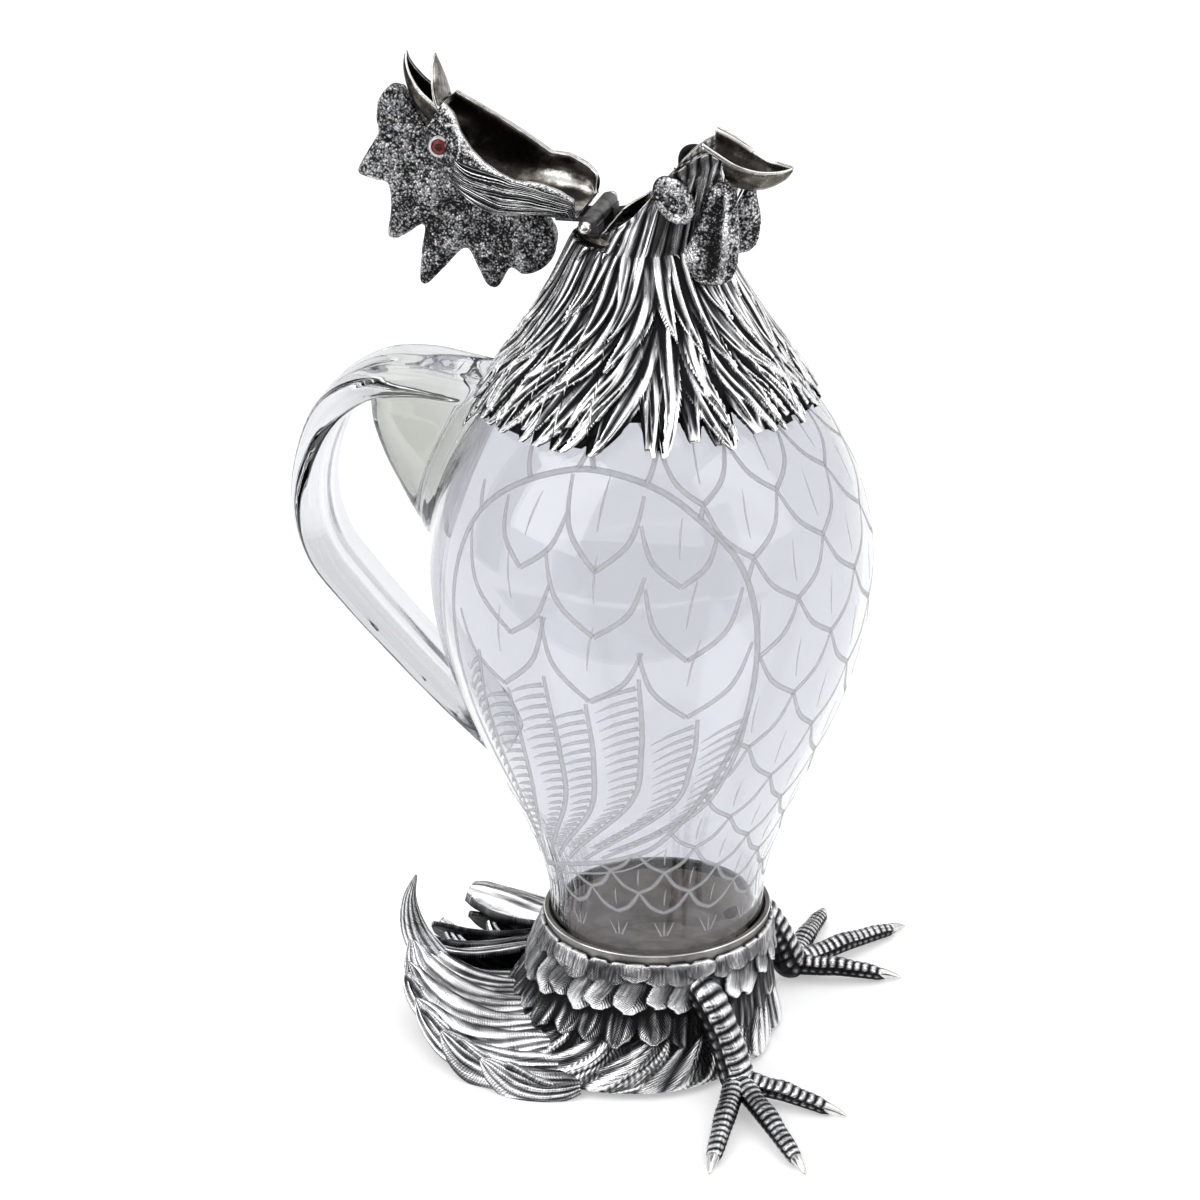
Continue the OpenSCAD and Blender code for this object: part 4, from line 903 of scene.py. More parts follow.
# %% Plumage
class Plumage:
    """A ring shaped grid over a surface, raised feather by feather."""

    def __init__(self, place, length, rows, cols, span, ground):
        self.place, self.length, self.feathers = place, length, []
        self.angle = np.linspace(-math.pi, math.pi, cols, endpoint=False)
        self.share = np.linspace(0, 1, rows)
        self.span, self.ground = span, ground

    def tier(self, count, start, end, width, outline, lift, sway, shift, uneven, bow=0.0, loose=0.03, **look):
        """Adds a ring of feathers.

        They run from start to end, in shares of the way down, and stand off the surface by lift, at
        root and tip. shift turns the ring by a share of its step. Chance moves the ends by uneven,
        bends the blades by bow and turns the tips by loose.
        """
        step = math.tau / count
        for k in range(count):
            angle = -math.pi + (k + shift + 0.18 * chance.uniform(-1, 1)) * step
            bent = {"turn": sway(angle) + loose * chance.uniform(-1, 1), "bow": bow * chance.uniform(-1, 1),
                    "phase": chance.uniform(0, 6)}
            self.feathers.append((angle, start, end + uneven * chance.uniform(-1, 1),
                                  width * chance.uniform(0.88, 1.12), outline, lift,
                                  {"wavy": 0.12, "hook": 0, "tilt": 0, "gloss": 0.0, **look, **bent}))

    def raised(self, t):
        """Height, cover, lie and offset of tone of the feathers at a grid of shares of the way down; on one
        tier of the base the offset is painted shade.
        """
        angle = np.broadcast_to(self.angle, t.shape)
        spot = self.place(angle, t)
        radius = np.hypot(spot[..., 0], spot[..., 1])
        height = np.full(t.shape, float(self.ground))
        lay = np.stack([angle * 20, t * self.length, 0 * t], -1)
        gloss = np.zeros(t.shape)
        cover = np.zeros(t.shape, bool)
        cols = len(self.angle)
        for at, start, end, width, outline, lift, look in self.feathers:
            turn, bow, phase, locks = (look[key] for key in ("turn", "bow", "phase", "locks"))
            # Only the columns near the feather are worked on, which keeps this quick
            reach = (abs(turn) + abs(bow) + width / 34) / math.tau * cols
            middle = round((at + turn / 2 + math.pi) / math.tau * cols)
            near = (np.arange(-reach, reach + 1).astype(int) + middle) % cols
            s = (t[:, near] - start) / (end - start)
            inside = (s > 0) & (s < 1)
            s = np.clip(s, 0, 1)
            hook = look["hook"] * math.copysign(1, turn) * smooth((s - 0.7) / 0.3) ** 2
            line = at + turn * s**1.7 + bow * np.sin(math.pi * s) + hook
            lean = turn * 1.7 * s**0.7 + bow * math.pi * np.cos(math.pi * s)
            slant = np.sqrt(1 + (radius[:, near] * lean / (self.length * (end - start))) ** 2)
            aside = (angle[:, near] - line + math.pi) % math.tau - math.pi
            half = profile(outline, s) * width / 2
            v = aside * radius[:, near] / (half * slant)
            inside &= np.abs(v) < 1
            bent = v + look["wavy"] * np.sin(4 * s + phase) * (1 - v**2)
            lock = np.abs(np.cos(math.pi / 2 * locks * bent)) ** 0.7
            uneven = 0.72 + 0.38 * np.sin(2.3 * locks * bent + 3 * phase) * np.sin(3 * s + phase)
            fade = smooth(s / 0.15) * smooth((1 - s) / 0.08)
            h = mix(*lift, s**1.4) + look["crown"] * half * (1 - v**2) + look["tilt"] * half * v
            h = h + fade * look["depth"] * (lock * uneven - 0.7) + 0.12 * math.sin(9 * phase)
            wins = inside & (h > height[:, near])
            height[:, near] = np.where(wins, h, height[:, near])
            gloss[:, near] = np.where(wins, look["gloss"], gloss[:, near])
            cover[:, near] |= inside
            lie = np.stack([v * half, s * (end - start) * self.length, np.full(s.shape, 7.0 * phase)], -1)
            lay[:, near] = np.where(wins[..., None], lie, lay[:, near])
        return height, cover, lay, gloss

    def surface(self):
        """The finished grid: points, normals, polish, lie and the shares of the way down."""
        cols = len(self.angle)
        probe = np.repeat(np.linspace(*self.span, 300)[:, None], cols, 1)
        cover = self.raised(probe)[1]
        edge = np.where(cover, probe, self.span[0]).max(0)
        edge = np.maximum(edge, np.minimum(np.roll(edge, 1), np.roll(edge, -1)))
        t = self.span[0] + self.share[:, None] * (edge - self.span[0])[None]
        height, cover, lay, gloss = self.raised(t)
        angle = np.broadcast_to(self.angle, t.shape)
        points, normal = over_surface(self.place, angle, t, height)
        # Each tier's offset of tone joins the polish here; on the base's straight row it is painted shade
        polish = 0.5 + 0.9 * (height - blurred(height, 5)) + 0.35 * (height - blurred(height, 14)) + gloss
        return points, normal, polish, lay, t


print("Plumage ready")

# %% [markdown]
# The throat rises from a round foot to a long slanting mouth, with a low ledge behind for the hinge
# and a notch in front for the spout. Its rim isn't straight: it dips beside the hinge, where the
# head's cheeks come lower, and stands up further forward, on the far side as a thin lip inside the
# lid. The place function gives the wall at any angle and share of the way down, and the core of dark
# metal is two such walls.

# %% The throat
pin_low, pin_high = node_box("hinge_pin")
HINGE = (pin_low + pin_high) / 2
PARTING_SLANT = math.radians(28)
PARTING = math.tan(PARTING_SLANT)
MOUTH_BACK_X = -10
MOUTH_LEN = 41
MOUTH_HALF = 15
NOTCH_H = 11
THROAT_R = 18.6
THROAT_FOOT_Z = 247
LEDGE_Z = 250.1
# The mouth's rim seen from above, in shares of its length and of its half width, from the back on
MOUTH_LINE = [(0, 0), (0, 0.43), (0.02, 0.78), (0.14, 0.95), (0.32, 1), (0.52, 0.93), (0.7, 0.77),
              (0.87, 0.56), (0.97, 0)]
# How far the rim stands over the parting plane at places along the jug
RIM_X = [-11, -8, -3, 1.5, 4.5, 7, 11.5, 16, 20, 25, 28, 31]
RIM_RISE = [-4.4, -4.6, -4.6, -3.2, -0.8, 1.6, 3.4, 4.2, 4.1, 2.6, 0.6, 0]
LIP_INSET = 1.9
# Where round the mouth the notch for the spout begins and how wide its slope is, on each side
NOTCH_LEFT = (0.77, 0.1)
NOTCH_RIGHT = (0.82, 0.18)
THROAT_COLS = 160
THROAT_ROWS = 20
# How far the outer and the inner face of the wall lie inside the line of the rim
OUTER_INSET = 0.4
INNER_INSET = 1.2


def throat_wall(angle, z_share, inset=0.0):
    """A place on the throat's wall from the rim, share 0, to the ledge, share 1."""
    angle, z_share = np.broadcast_arrays(angle, z_share)
    q = ((math.pi - angle) / math.tau) % 1
    h = 1 - np.abs(2 * q - 1)
    side = np.where(q > 0.5, -1, 1)
    share = curve(MOUTH_LINE, h)
    x = MOUTH_BACK_X + share[..., 0] * MOUTH_LEN
    notch_from, notch_slope = (np.where(side > 0, *both) for both in zip(NOTCH_LEFT, NOTCH_RIGHT))
    notch = smooth((h - notch_from) / notch_slope)
    plane = HINGE[2] + (x - HINGE[0]) * PARTING - NOTCH_H * notch
    rise = np.interp(x, RIM_X, RIM_RISE) * (1 - smooth((h - 0.78) / 0.08))
    top = np.maximum(plane + rise, LEDGE_Z + 0.3)
    z = mix(top, LEDGE_Z, z_share)
    lip = LIP_INSET * smooth((z - plane + 0.9) / 0.9) * (rise > 0) * (side > 0)
    drawn = inset + lip
    rim = np.stack([x + drawn * (1 - 2 * share[..., 0]), side * share[..., 1] * (MOUTH_HALF - drawn)], -1)
    foot = axial(THROAT_R - inset, angle, 0)[..., :2]
    flat = np.maximum(0.16, 1 - np.clip((h - 0.2) / 0.25, 0, 1))[..., None]
    down = np.clip((plane - z) / np.maximum(plane - LEDGE_Z, 0.1), 0, 1)[..., None]
    return np.concatenate([mix(rim, mix(foot, rim, flat), down), z[..., None]], -1)


def make_throat():
    throat = Casting()
    angle = np.linspace(-math.pi, math.pi, THROAT_COLS, endpoint=False)
    outer = [throat_wall(angle, row, OUTER_INSET) for row in np.linspace(0, 1, THROAT_ROWS)]
    foot = [axial(THROAT_R - drawn, angle, z) for drawn, z in
            ((0.3, LEDGE_Z), (0.3, THROAT_FOOT_Z), (1.8, THROAT_FOOT_Z), (1.8, LEDGE_Z - 1.2))]
    inner = [throat_wall(angle, row, INNER_INSET) for row in np.linspace(1, 0, THROAT_ROWS)]
    inner[0][:, 2] -= 1.2
    rings = np.array(outer + foot + inner)
    worn = np.full(rings.shape[:2], 0.25)
    worn[[0, -1]] = 1.1
    # Graver's strokes on the upper rows of the inner wall, from the front to just behind the sides
    strokes = 0.5 + 0.5 * np.sin(46 * angle + 2 * np.sin(5 * angle))
    worn[-12:-1] = 0.2 + 0.9 * strokes * smooth((1.9 - np.abs(angle)) / 0.3)
    throat.add(rings, worn, loop=True)
    throat.make("throat_wall", "jug", "oxidised_silver", BLOOMED_SILVER, ["throat"])


make_throat()

# %% [markdown]
# The neck plumage was cast with the throat's strands above it, and the eye reads one fall of
# hair from the rim to the glass. So one relief covers both. Long locks start under the rim, flare
# over the shoulder and end in loose curled points. They part at the sides of the breast and
# sweep away from there, forward and back. The relief is cut at the foot of the throat into two
# skins.

# %% The fall of the neck plumage
hackle_low, hackle_high = node_box("hackle")
HACKLE_TOP_R = 19.8
HACKLE_TIP_R = 47.5
HACKLE_LINE = [(0, 0), (0.07, 0.09), (0.19, 0.24), (0.3, 0.36), (0.41, 0.47), (0.55, 0.6), (0.75, 0.75),
               (1, 1)]
HACKLE_LENGTH = 50
HACKLE_PARTING = math.radians(60)
THROAT_SHARE = 0.42
THROAT_SKIN = 0.35
HACKLE_SKIN = 0.9
# Widths of the locks from root to tip, in shares of the widest
LANCE = [0.5, 0.8, 1.0, 1.0, 0.92, 0.74, 0.46, 0.03]
CURLED = [0.5, 0.75, 0.95, 1.0, 0.98, 0.88, 0.66, 0.2]
BLUNT = [0.8, 0.9, 1.0, 1.0, 1.0, 1.0, 0.92, 0.4]


def hackle_place(angle, t):
    share = curve(HACKLE_LINE, t)
    z = mix(hackle_high[2], hackle_low[2], share[..., 1])
    r = np.maximum(mix(HACKLE_TOP_R, HACKLE_TIP_R, share[..., 0]), glass_r(z) + 1.1) - 0.5
    return axial(r, angle, z)


def neck_place(angle, t):
    """The throat's wall above share 0, drawn out to the plumage below."""
    angle, t = np.broadcast_arrays(angle, t)
    wall = throat_wall(angle, np.clip(1 + t / THROAT_SHARE, 0, 1), 0.3)
    upper = mix(wall, hackle_place(angle, 0 * t), smooth((t + 0.24) / 0.24)[..., None])
    return np.where((t < 0)[..., None], upper, hackle_place(angle, np.maximum(t, 0)))


def swept(amount):
    """Sways tips away from a parting on each side of the breast, forward and back."""
    def sway(angle):
        angle = (angle + math.pi) % math.tau - math.pi
        a, side = abs(angle), 1 if angle > 0 else -1
        away = side * amount * float(smooth(abs(a - HACKLE_PARTING) / 0.3))
        if a < HACKLE_PARTING:
            return -0.7 * away * math.sin(math.pi / 2 * a / HACKLE_PARTING)
        return away * math.cos(math.pi / 2 * (a - HACKLE_PARTING) / (math.pi - HACKLE_PARTING)) ** 0.6
    return sway


print("Neck plumage falls from", round(hackle_high[2], 1), "to", round(hackle_low[2], 1), "mm")

# %% [markdown]
# Two blunt tiers lie lowest, with the curled locks over them and fine strands on top up to
# the rim. The wall beside the hinge and the lip of the rim stay calm. A core of dark metal between
# the skin and the glass keeps light from coming through the gaps between the locks.

# %% The neck plumage
def make_neck():
    relief = Plumage(neck_place, HACKLE_LENGTH, 216, 576, (-THROAT_SHARE, 1.03), -0.4)
    relief.tier(50, 0.3, 0.9, 8.5, BLUNT, (-0.9, -0.1), swept(0.25), 0.5, 0.02, 0.05, locks=5, depth=0.7,
                crown=0.12, gloss=0.28)
    relief.tier(54, 0.3, 0.96, 8, BLUNT, (-0.8, 0.4), swept(0.35), 0.0, 0.02, 0.05, locks=3, depth=0.8,
                crown=0.14, gloss=0.2)
    relief.tier(50, 0.2, 0.99, 6.6, CURLED, (-0.7, 1.3), swept(0.46), 0.2, 0.03, 0.12, 0.14, locks=2,
                depth=0.8, crown=0.18, hook=0.07)
    relief.tier(44, 0.0, 0.98, 6.2, CURLED, (-0.6, 1.8), swept(0.55), 0.3, 0.06, 0.14, 0.16, locks=2,
                depth=0.9, crown=0.2, hook=0.09)
    relief.tier(36, -0.2, 0.85, 6.2, CURLED, (-0.5, 1.9), swept(0.5), 0.1, 0.15, 0.16, 0.14, locks=2,
                depth=0.9, crown=0.22, hook=0.05)
    relief.tier(36, -0.32, 0.55, 6, LANCE, (-0.3, 1.7), swept(0.3), 0.6, 0.2, 0.12, 0.1, locks=2,
                depth=0.8, crown=0.22)
    relief.tier(42, -0.42, 0.25, 4.4, LANCE, (-0.2, 1.2), swept(0.12), 0.0, 0.2, 0.07, locks=1, depth=0.5,
                crown=0.22)
    points, normal, polish, lay, t = relief.surface()
    bare = smooth((np.abs(relief.angle)[None] - 1.75) / 0.3) * (t < -0.03)
    lip = smooth((0.12 - THROAT_SHARE - t) / 0.08)
    calm = np.maximum(bare, 0.8 * lip)[..., None]
    points = mix(points, neck_place(np.broadcast_to(relief.angle, t.shape), t), calm)
    cut = int(np.argmin(np.abs(np.median(t, 1))))
    throat, hackle = Casting(), Casting()
    close_skin(throat, *(part[:cut + 1] for part in (points, normal, polish, lay)), THROAT_SKIN)
    close_skin(hackle, *(part[cut:] for part in (points, normal, polish, lay)), HACKLE_SKIN)
    down = np.linspace(0, 0.9, 20)
    core = np.concatenate([[(18.4, 246), (18.6, 249)], hackle_place(0 * down, down)[:, [0, 2]] - (1.1, 0)])
    core[2:, 0] = np.maximum(core[2:, 0], glass_r(core[2:, 1]) + 0.5)
    behind = core[::-1] - (0.3, 0)
    behind[:, 0] = np.maximum(behind[:, 0], 18.1)
    hackle.add(spun(np.concatenate([core, behind]), 96), 0.0, loop=True)
    throat.make("throat_plumage", "jug", "oxidised_silver", HACKLE_SILVER)
    hackle.make("neck_plumage", "jug", "oxidised_silver", HACKLE_SILVER, ["hackle"])


make_neck()

# %% [markdown]
# The silver base is a bell of feathers. A fine bright line and a plain band stand under the
# glass; the band is painted dark, a painted reflection of a dark room in its plain polished metal.
# Scalloped graver's strokes ring the shoulder, and three tiers follow: rounded, straight, and a broad
# row that sweeps back towards the tail. The straight row carries painted shade from the rounded row
# above it. The bell is shallower at the front, where the feet stand.

# %% The feathered base
SKIRT_H = node_box("base_skirt")[1][2]
CUP_R = node_box("base_cup")[1][0]
SKIRT_TOP_R = CUP_R + 1.4
SKIRT_R = 51
SKIRT_LENGTH = 44
SKIRT_FRONT_SHARE = 0.33
SKIRT_SKIN = 1.4
# Cast plumage ends this far over the table
FLOOR_GAP = 0.1
SKIRT_LINE = [(1, 0), (0.93, 0.0), (0.86, 0.06), (0.76, 0.14), (0.66, 0.22), (0.5, 0.36), (0.36, 0.56),
              (0.18, 0.76), (0, 1)]
ROUNDED = [0.5, 0.78, 0.94, 1.0, 1.0, 0.94, 0.76, 0.2]
BROAD = [0.5, 0.7, 0.85, 0.95, 1.0, 1.0, 0.86, 0.3]


def skirt_place(angle, t):
    share = curve(SKIRT_LINE, t)
    front = 1 - SKIRT_FRONT_SHARE * ((1 + np.cos(angle)) / 2) ** 1.5
    r = mix(SKIRT_TOP_R, SKIRT_R * front, share[..., 1]) - 1.2
    return axial(r, angle, np.maximum(SKIRT_H * share[..., 0], 0.9))


def sweep_back(amount):
    """Turns a feather's tip away from the front, most at the sides."""
    return lambda angle: amount * math.sin(angle)


def make_base():
    relief = Plumage(skirt_place, SKIRT_LENGTH, 170, 480, (0.03, 1.02), -0.6)
    relief.tier(18, 0.7, 0.98, 18, BROAD, (-1.2, 1.4), sweep_back(0.42), 0.5, 0.03, 0.03, locks=5, depth=0.7,
                crown=0.14, gloss=0.05)
    relief.tier(17, 0.68, 1.0, 19, BROAD, (-0.9, 2.3), sweep_back(0.45), 0.0, 0.02, 0.03, locks=5, depth=0.8,
                crown=0.2, gloss=0.1)
    # The straight row gets a darker tone: painted shade, as it lies in the shadow of the rounded row above
    relief.tier(28, 0.48, 0.78, 10, ROUNDED, (-0.2, 1.4), sweep_back(0.06), 0.0, 0.04, locks=3, depth=0.5,
                crown=0.08, gloss=-0.22)
    relief.tier(30, 0.24, 0.57, 12, ROUNDED, (0.2, 1.7), sweep_back(0.16), 0.3, 0.04, locks=1, depth=0.15,
                crown=0.1, tilt=-0.16, gloss=0.02)
    relief.tier(34, 0.12, 0.36, 8.5, ROUNDED, (0.9, 1.5), sweep_back(0), 0.0, 0.04, locks=9, depth=0.22,
                crown=0.04, wavy=0.02)
    points, normal, polish, lay, t = relief.surface()
    points[..., 2] = np.clip(points[..., 2], 0.05, SKIRT_H - 0.4)
    # The plain band under the glass is painted dark: a painted reflection of dark surroundings in plain
    # polished silver
    band = smooth((0.13 - t) / 0.02)
    base = Casting()
    close_skin(base, points, normal, polish * (1 - band) - 0.1 * band, lay, SKIRT_SKIN)
    base.raise_to(FLOOR_GAP)
    base.make("base_plumage", "jug", "oxidised_silver", SKIRT_SILVER, ["base_skirt"])


def make_band():
    band = Casting()
    inside, outside = CUP_R + 0.05, CUP_R + 0.45
    outline = [(inside, SKIRT_H), (CUP_R + 0.3, SKIRT_H), (outside, SKIRT_H - 0.2), (outside, SKIRT_H - 0.5),
               (inside, SKIRT_H - 0.5)]
    band.add(spun(outline, 128), 0.9, loop=True)
    band.make("collar_band", "jug", "bright_silver", BRIGHT_SILVER)


make_base()
make_band()

# %% [markdown]
# The spout is the lower bill: an open pointed trough with a thin bright lip. Wine has stained it
# brown inside. Upper bill and blade are troughs of the same kind on the lid, so one maker builds
# all three from stations of length, half width, edge height and depth.

# %% Bills and spout
BILL_ROWS = 40
BILL_COLS = 25
BILL_WALL = 0.9
SPOUT_BEAD = 0.5


def trough(casting, stations, place, wall, outside):
    """A pointed trough; depth may point up or down, and outside is the polish of its outer face."""
    turn = np.linspace(0, math.pi, BILL_COLS)
    rings, polish = [], []
    for length, half, edge, depth in curve(stations, np.linspace(0, 1, BILL_ROWS)):
        thin = min(wall, 0.45 * max(half, 0.05), 0.45 * max(abs(depth), 0.05))
        section = []
        for inset in (0.0, thin):
            side = -(half - inset) * np.cos(turn)
            height = edge + math.copysign(1, depth) * (abs(depth) - inset) * np.sin(turn) ** 0.85
            section.append(np.stack([np.full(BILL_COLS, length), side, height], -1))
        rings.append(np.concatenate([section[0], section[1][::-1]]))
        lip = bell(np.minimum(turn, math.pi - turn), 0.1)
        polish.append(np.concatenate([lip + outside, (lip * 1.2)[::-1]]))
    casting.add(place(np.array(rings)), np.array(polish))


def lip_bead(casting, stations, place, size):
    """A fine bright wire along both edges of a trough, meeting at its tip."""
    t = np.linspace(0, 1, BILL_ROWS)
    length, half, edge, _ = curve(stations, t).T
    turn = np.linspace(0, math.tau, 8, endpoint=False)[:, None]
    for side in (-1, 1):
        middle = place(np.stack([length, side * half, edge], -1))
        tangent = unit(np.gradient(middle, axis=0))
        across = unit(np.cross(tangent, (0.1, 1.0, 0.05)))
        up = np.cross(across, tangent)
        out = across[:, None] * np.cos(turn) + up[:, None] * np.sin(turn)
        casting.add(middle[:, None] + size * mix(1, 0.6, t)[:, None, None] * out, 1.0)


SPOUT_ROOT_X = MOUTH_BACK_X + MOUTH_LEN * 0.85
SPOUT_ROOT_Z = HINGE[2] + (SPOUT_ROOT_X - HINGE[0]) * PARTING
SPOUT_STATIONS = [(-6.5, 8.4, 3.5, -10), (-2, 9.2, 1.0, -9.6), (2, 9.1, -1.4, -8.9), (5, 8.3, -2.8, -7.8),
                  (8.6, 6.6, -4.1, -6.5), (12.2, 4.5, -4.6, -4.6), (15, 2.4, -4.6, -2.8),
                  (16.6, 0.5, -4.3, -0.9)]


def spout_place(points):
    return points + (SPOUT_ROOT_X, 0, SPOUT_ROOT_Z)


def make_spout():
    spout = Casting()
    trough(spout, SPOUT_STATIONS, spout_place, BILL_WALL, 0.35)
    lip_bead(spout, SPOUT_STATIONS, spout_place, SPOUT_BEAD)
    spout.make("spout_bill", "jug", "bright_silver", BLOOMED_SILVER, ["spout"])


make_spout()

# %% [markdown]
# The head swings on the hinge, so its shapes are written in its own lengths: along the head from
# the pin, across it, and up from the plane in which it parts from the throat. One function turns
# these to where the head stands at rest, thrown back.

# %% The head's own lengths
HEAD_OPEN = math.radians(115)
HEAD_TURN = PARTING_SLANT + HEAD_OPEN
HEAD_LEN = 51.5
CROWN_H = 17.8
LID_GAP = 0.3
# From the beak back: share of the length, of the half width and of the crown's height
HEAD_LINE = [(1.0, 0.45, 0.7), (0.97, 0.48, 0.76), (0.875, 0.61, 0.89), (0.76, 0.75, 0.98),
             (0.64, 0.87, 1.0), (0.52, 0.95, 0.93), (0.41, 1.0, 0.78), (0.29, 0.99, 0.56),
             (0.175, 0.93, 0.34), (0.1, 0.83, 0.18), (0.07, 0.76, 0.11)]
EYE = np.array([45.1, 7.8, 10.0])
HEAD_ROWS = 90


def from_head(points):
    along, side, above = np.moveaxis(np.asarray(points, float), -1, 0)
    c, s = math.cos(HEAD_TURN), math.sin(HEAD_TURN)
    return HINGE + np.stack([c * along - s * above, side, s * along + c * above], -1)


def cheek_edge(along, left):
    """Height of the cheek's edge over the parting plane: it follows the wave of the throat's rim."""
    level = math.cos(PARTING_SLANT)
    rise = level * np.interp(HINGE[0] + along * level, RIM_X, RIM_RISE)
    rise = np.where(left & (rise > 0), 0, rise)
    return LID_GAP + rise * smooth((along - 4) / 3.5) * smooth((50 - along) / 4)


def head_own(angle, t, inset=0.0):
    """The skin in the head's own lengths: angle 0 is the left edge, and t runs from beak to nape."""
    angle, t = np.broadcast_arrays(angle, t)
    length, half, height = np.moveaxis(curve(HEAD_LINE, t), -1, 0)
    c, s = np.cos(angle), np.abs(np.sin(angle))
    side = np.sign(c) * np.abs(c) ** 0.8 * (1 + 0.25 * s)
    half = np.maximum(half * MOUTH_HALF - inset, 0.1)
    height = np.maximum(height * CROWN_H - inset, 0.1)
    edge = cheek_edge(length * HEAD_LEN, c > 0)
    return np.stack([length * HEAD_LEN, half * side, mix(edge, LID_GAP + height, s**0.8)], -1)


def head_place(angle, t):
    return from_head(head_own(angle, t))


print("The head is", HEAD_LEN, "mm long and", CROWN_H, "mm high over its edge")

# %% [markdown]
# Skin and lining are two shells. The skin has folds ringed round the eyes and soft lumps. The lining
# swells inward behind each eye, where the bead is seated, and the bloom of old wine lies on it in
# patches.

# %% Skin and lining
def wrinkles(own):
    """Folds that ring the eyes, in millimetres, from places in the head's own lengths."""
    away = np.linalg.norm((own - EYE) * (1, 0, 1), axis=-1)
    aside = smooth((np.abs(own[..., 1]) - 4) / 3)
    swirl = np.sin(2.1 * away + 1.6 * np.sin(0.9 * own[..., 0] + 0.7 * own[..., 2]))
    return aside * swirl * bell(away - 6.5, 4.5)


def make_head():
    shell, lining = Casting(), Casting()
    angle = np.linspace(0.0, math.pi, HEAD_ROWS)
    rim = bell(np.minimum(angle, math.pi - angle), 0.06)
    rings, inner_rings, worn, inner_worn = [], [], [], []
    for k, t in enumerate(np.linspace(0, 1, HEAD_ROWS)):
        at_end = k in (0, HEAD_ROWS - 1)
        outer, normal = over_surface(head_place, angle, np.full_like(angle, t), 0)
        own = head_own(angle, t)
        folds = wrinkles(own)
        lump = np.array([noise.noise(Vector(p) * 0.16) for p in own])
        relief = (0.35 * folds + 0.5 * lump) * (1 - rim) * smooth(np.sin(angle) * 4)
        inner = from_head(head_own(angle, t, 1.0) * ((1, 0.02, 0.02) if at_end else 1))
        rings.append(np.concatenate([outer + normal * relief[:, None], inner[::-1]]))
        worn.append(np.concatenate([0.12 + 0.75 * np.clip(folds, 0, 1) ** 2 + rim, 0.1 + rim]))
        if at_end:
            continue
        row = mix(0.03, 0.97, t)
        near_eye = np.linalg.norm(np.abs(head_own(angle, row, 1.5)) - EYE, axis=-1)
        face = from_head(head_own(angle, row, 0.95))
        back = from_head(head_own(angle, row, 1.7 + 2.6 * bell(near_eye, 3.6)))
        inner_rings.append(np.concatenate([face, back[::-1]]))
        bloom = [0.35 + 1.2 * noise.noise(Vector((8 * t, 2.2 * a, 5))) for a in angle]
        patch = 1.3 * smooth((t - 0.5) / 0.3) * np.clip(bloom, 0, 1)
        inner_worn.append(np.concatenate([patch + 0.5 * rim, (patch + 0.8 * rim)[::-1]]))
    shell.add(np.array(rings), np.array(worn))
    lining.add(np.array(inner_rings), np.array(inner_worn))
    shell.make("head_skin", "head", "oxidised_silver", PITTED_SILVER, ["head_shell"])
    lining.make("head_lining", "head", "oxidised_silver", BLOOMED_SILVER)


make_head()

# %% [markdown]
# Four wavy tufts on each side sweep back over the cheek. They are feathers laid on the skin, with
# many fine locks.

# %% Cheek tufts
TUFT_SHAPE = [0.4, 0.9, 1, 0.95, 0.8, 0.62, 0.4, 0.08]
# Angle at the start and at the end, rows of the skin from and to, and width of each tuft
TUFTS = [(0.5, 0.1, 0.32, 0.98, 5.5), (0.75, 0.28, 0.34, 0.9, 5.0), (0.3, 0.06, 0.3, 0.86, 5.0),
         (0.98, 0.5, 0.4, 0.82, 4.5)]


def make_tufts():
    tufts = Casting()
    s = np.linspace(0, 1, 44)
    for start, end, first, last, width in TUFTS:
        left = mix(start, end, s**0.8) + 0.05 * np.sin(9 * s + 4 * start)
        for angle in (left, math.pi - left):
            lift = 0.3 + 0.8 * np.sin(math.pi * s)
            spine, normal = over_surface(head_place, angle, mix(first, last, s), lift)
            feather(tufts, spine, normal, width, TUFT_SHAPE, crown=0.25, locks=7, depth=0.45, thick=0.8,
                    across=43, base_polish=-0.05, phase=5 * start, wavy=0.35)
    tufts.make("cheek_tufts", "head", "bright_silver", HACKLE_SILVER)


make_tufts()

# %% [markdown]
# The upper bill and the blade beside it are thin horns, bright at the edges and dark inside.

# %% The bills of the head
BEAK_STATIONS = [(51.0, 6.4, 2.4, 7.2), (55, 5.6, 2.6, 6.4), (59.5, 4.4, 2.5, 5.0), (63.9, 3.0, 1.2, 3.3),
                 (66.8, 1.5, -0.5, 2.1), (68.3, 0.3, -2.2, 1.1)]
BLADE_WALL = 0.8
HEAD_BEAD = 0.42
BLADE_STATIONS = [(50.5, 6.0, 3.6, -1.6), (53.4, 6.3, 1.8, -2.2), (56.6, 5.2, -0.9, -2.2),
                  (59.6, 3.0, -3.9, -1.5), (61.6, 0.3, -6.8, -0.3)]


def make_bills():
    bills = Casting()
    for stations, wall, outside in ((BEAK_STATIONS, BILL_WALL, 0.0), (BLADE_STATIONS, BLADE_WALL, 0.5)):
        trough(bills, stations, from_head, wall, outside)
        lip_bead(bills, stations, from_head, HEAD_BEAD)
    bills.make("head_bills", "head", "bright_silver", BLOOMED_SILVER, ["upper_beak", "inner_bill"])


make_bills()

# %% [markdown]
# Comb, wattles and lobes are fleshy and grained. Grains and soft folds push their points out. The
# grain is geometry, and the finish darkens the pits between.

# %% Grain
FOLD_MM = 0.9
FOLDS_PER_MM = 0.16


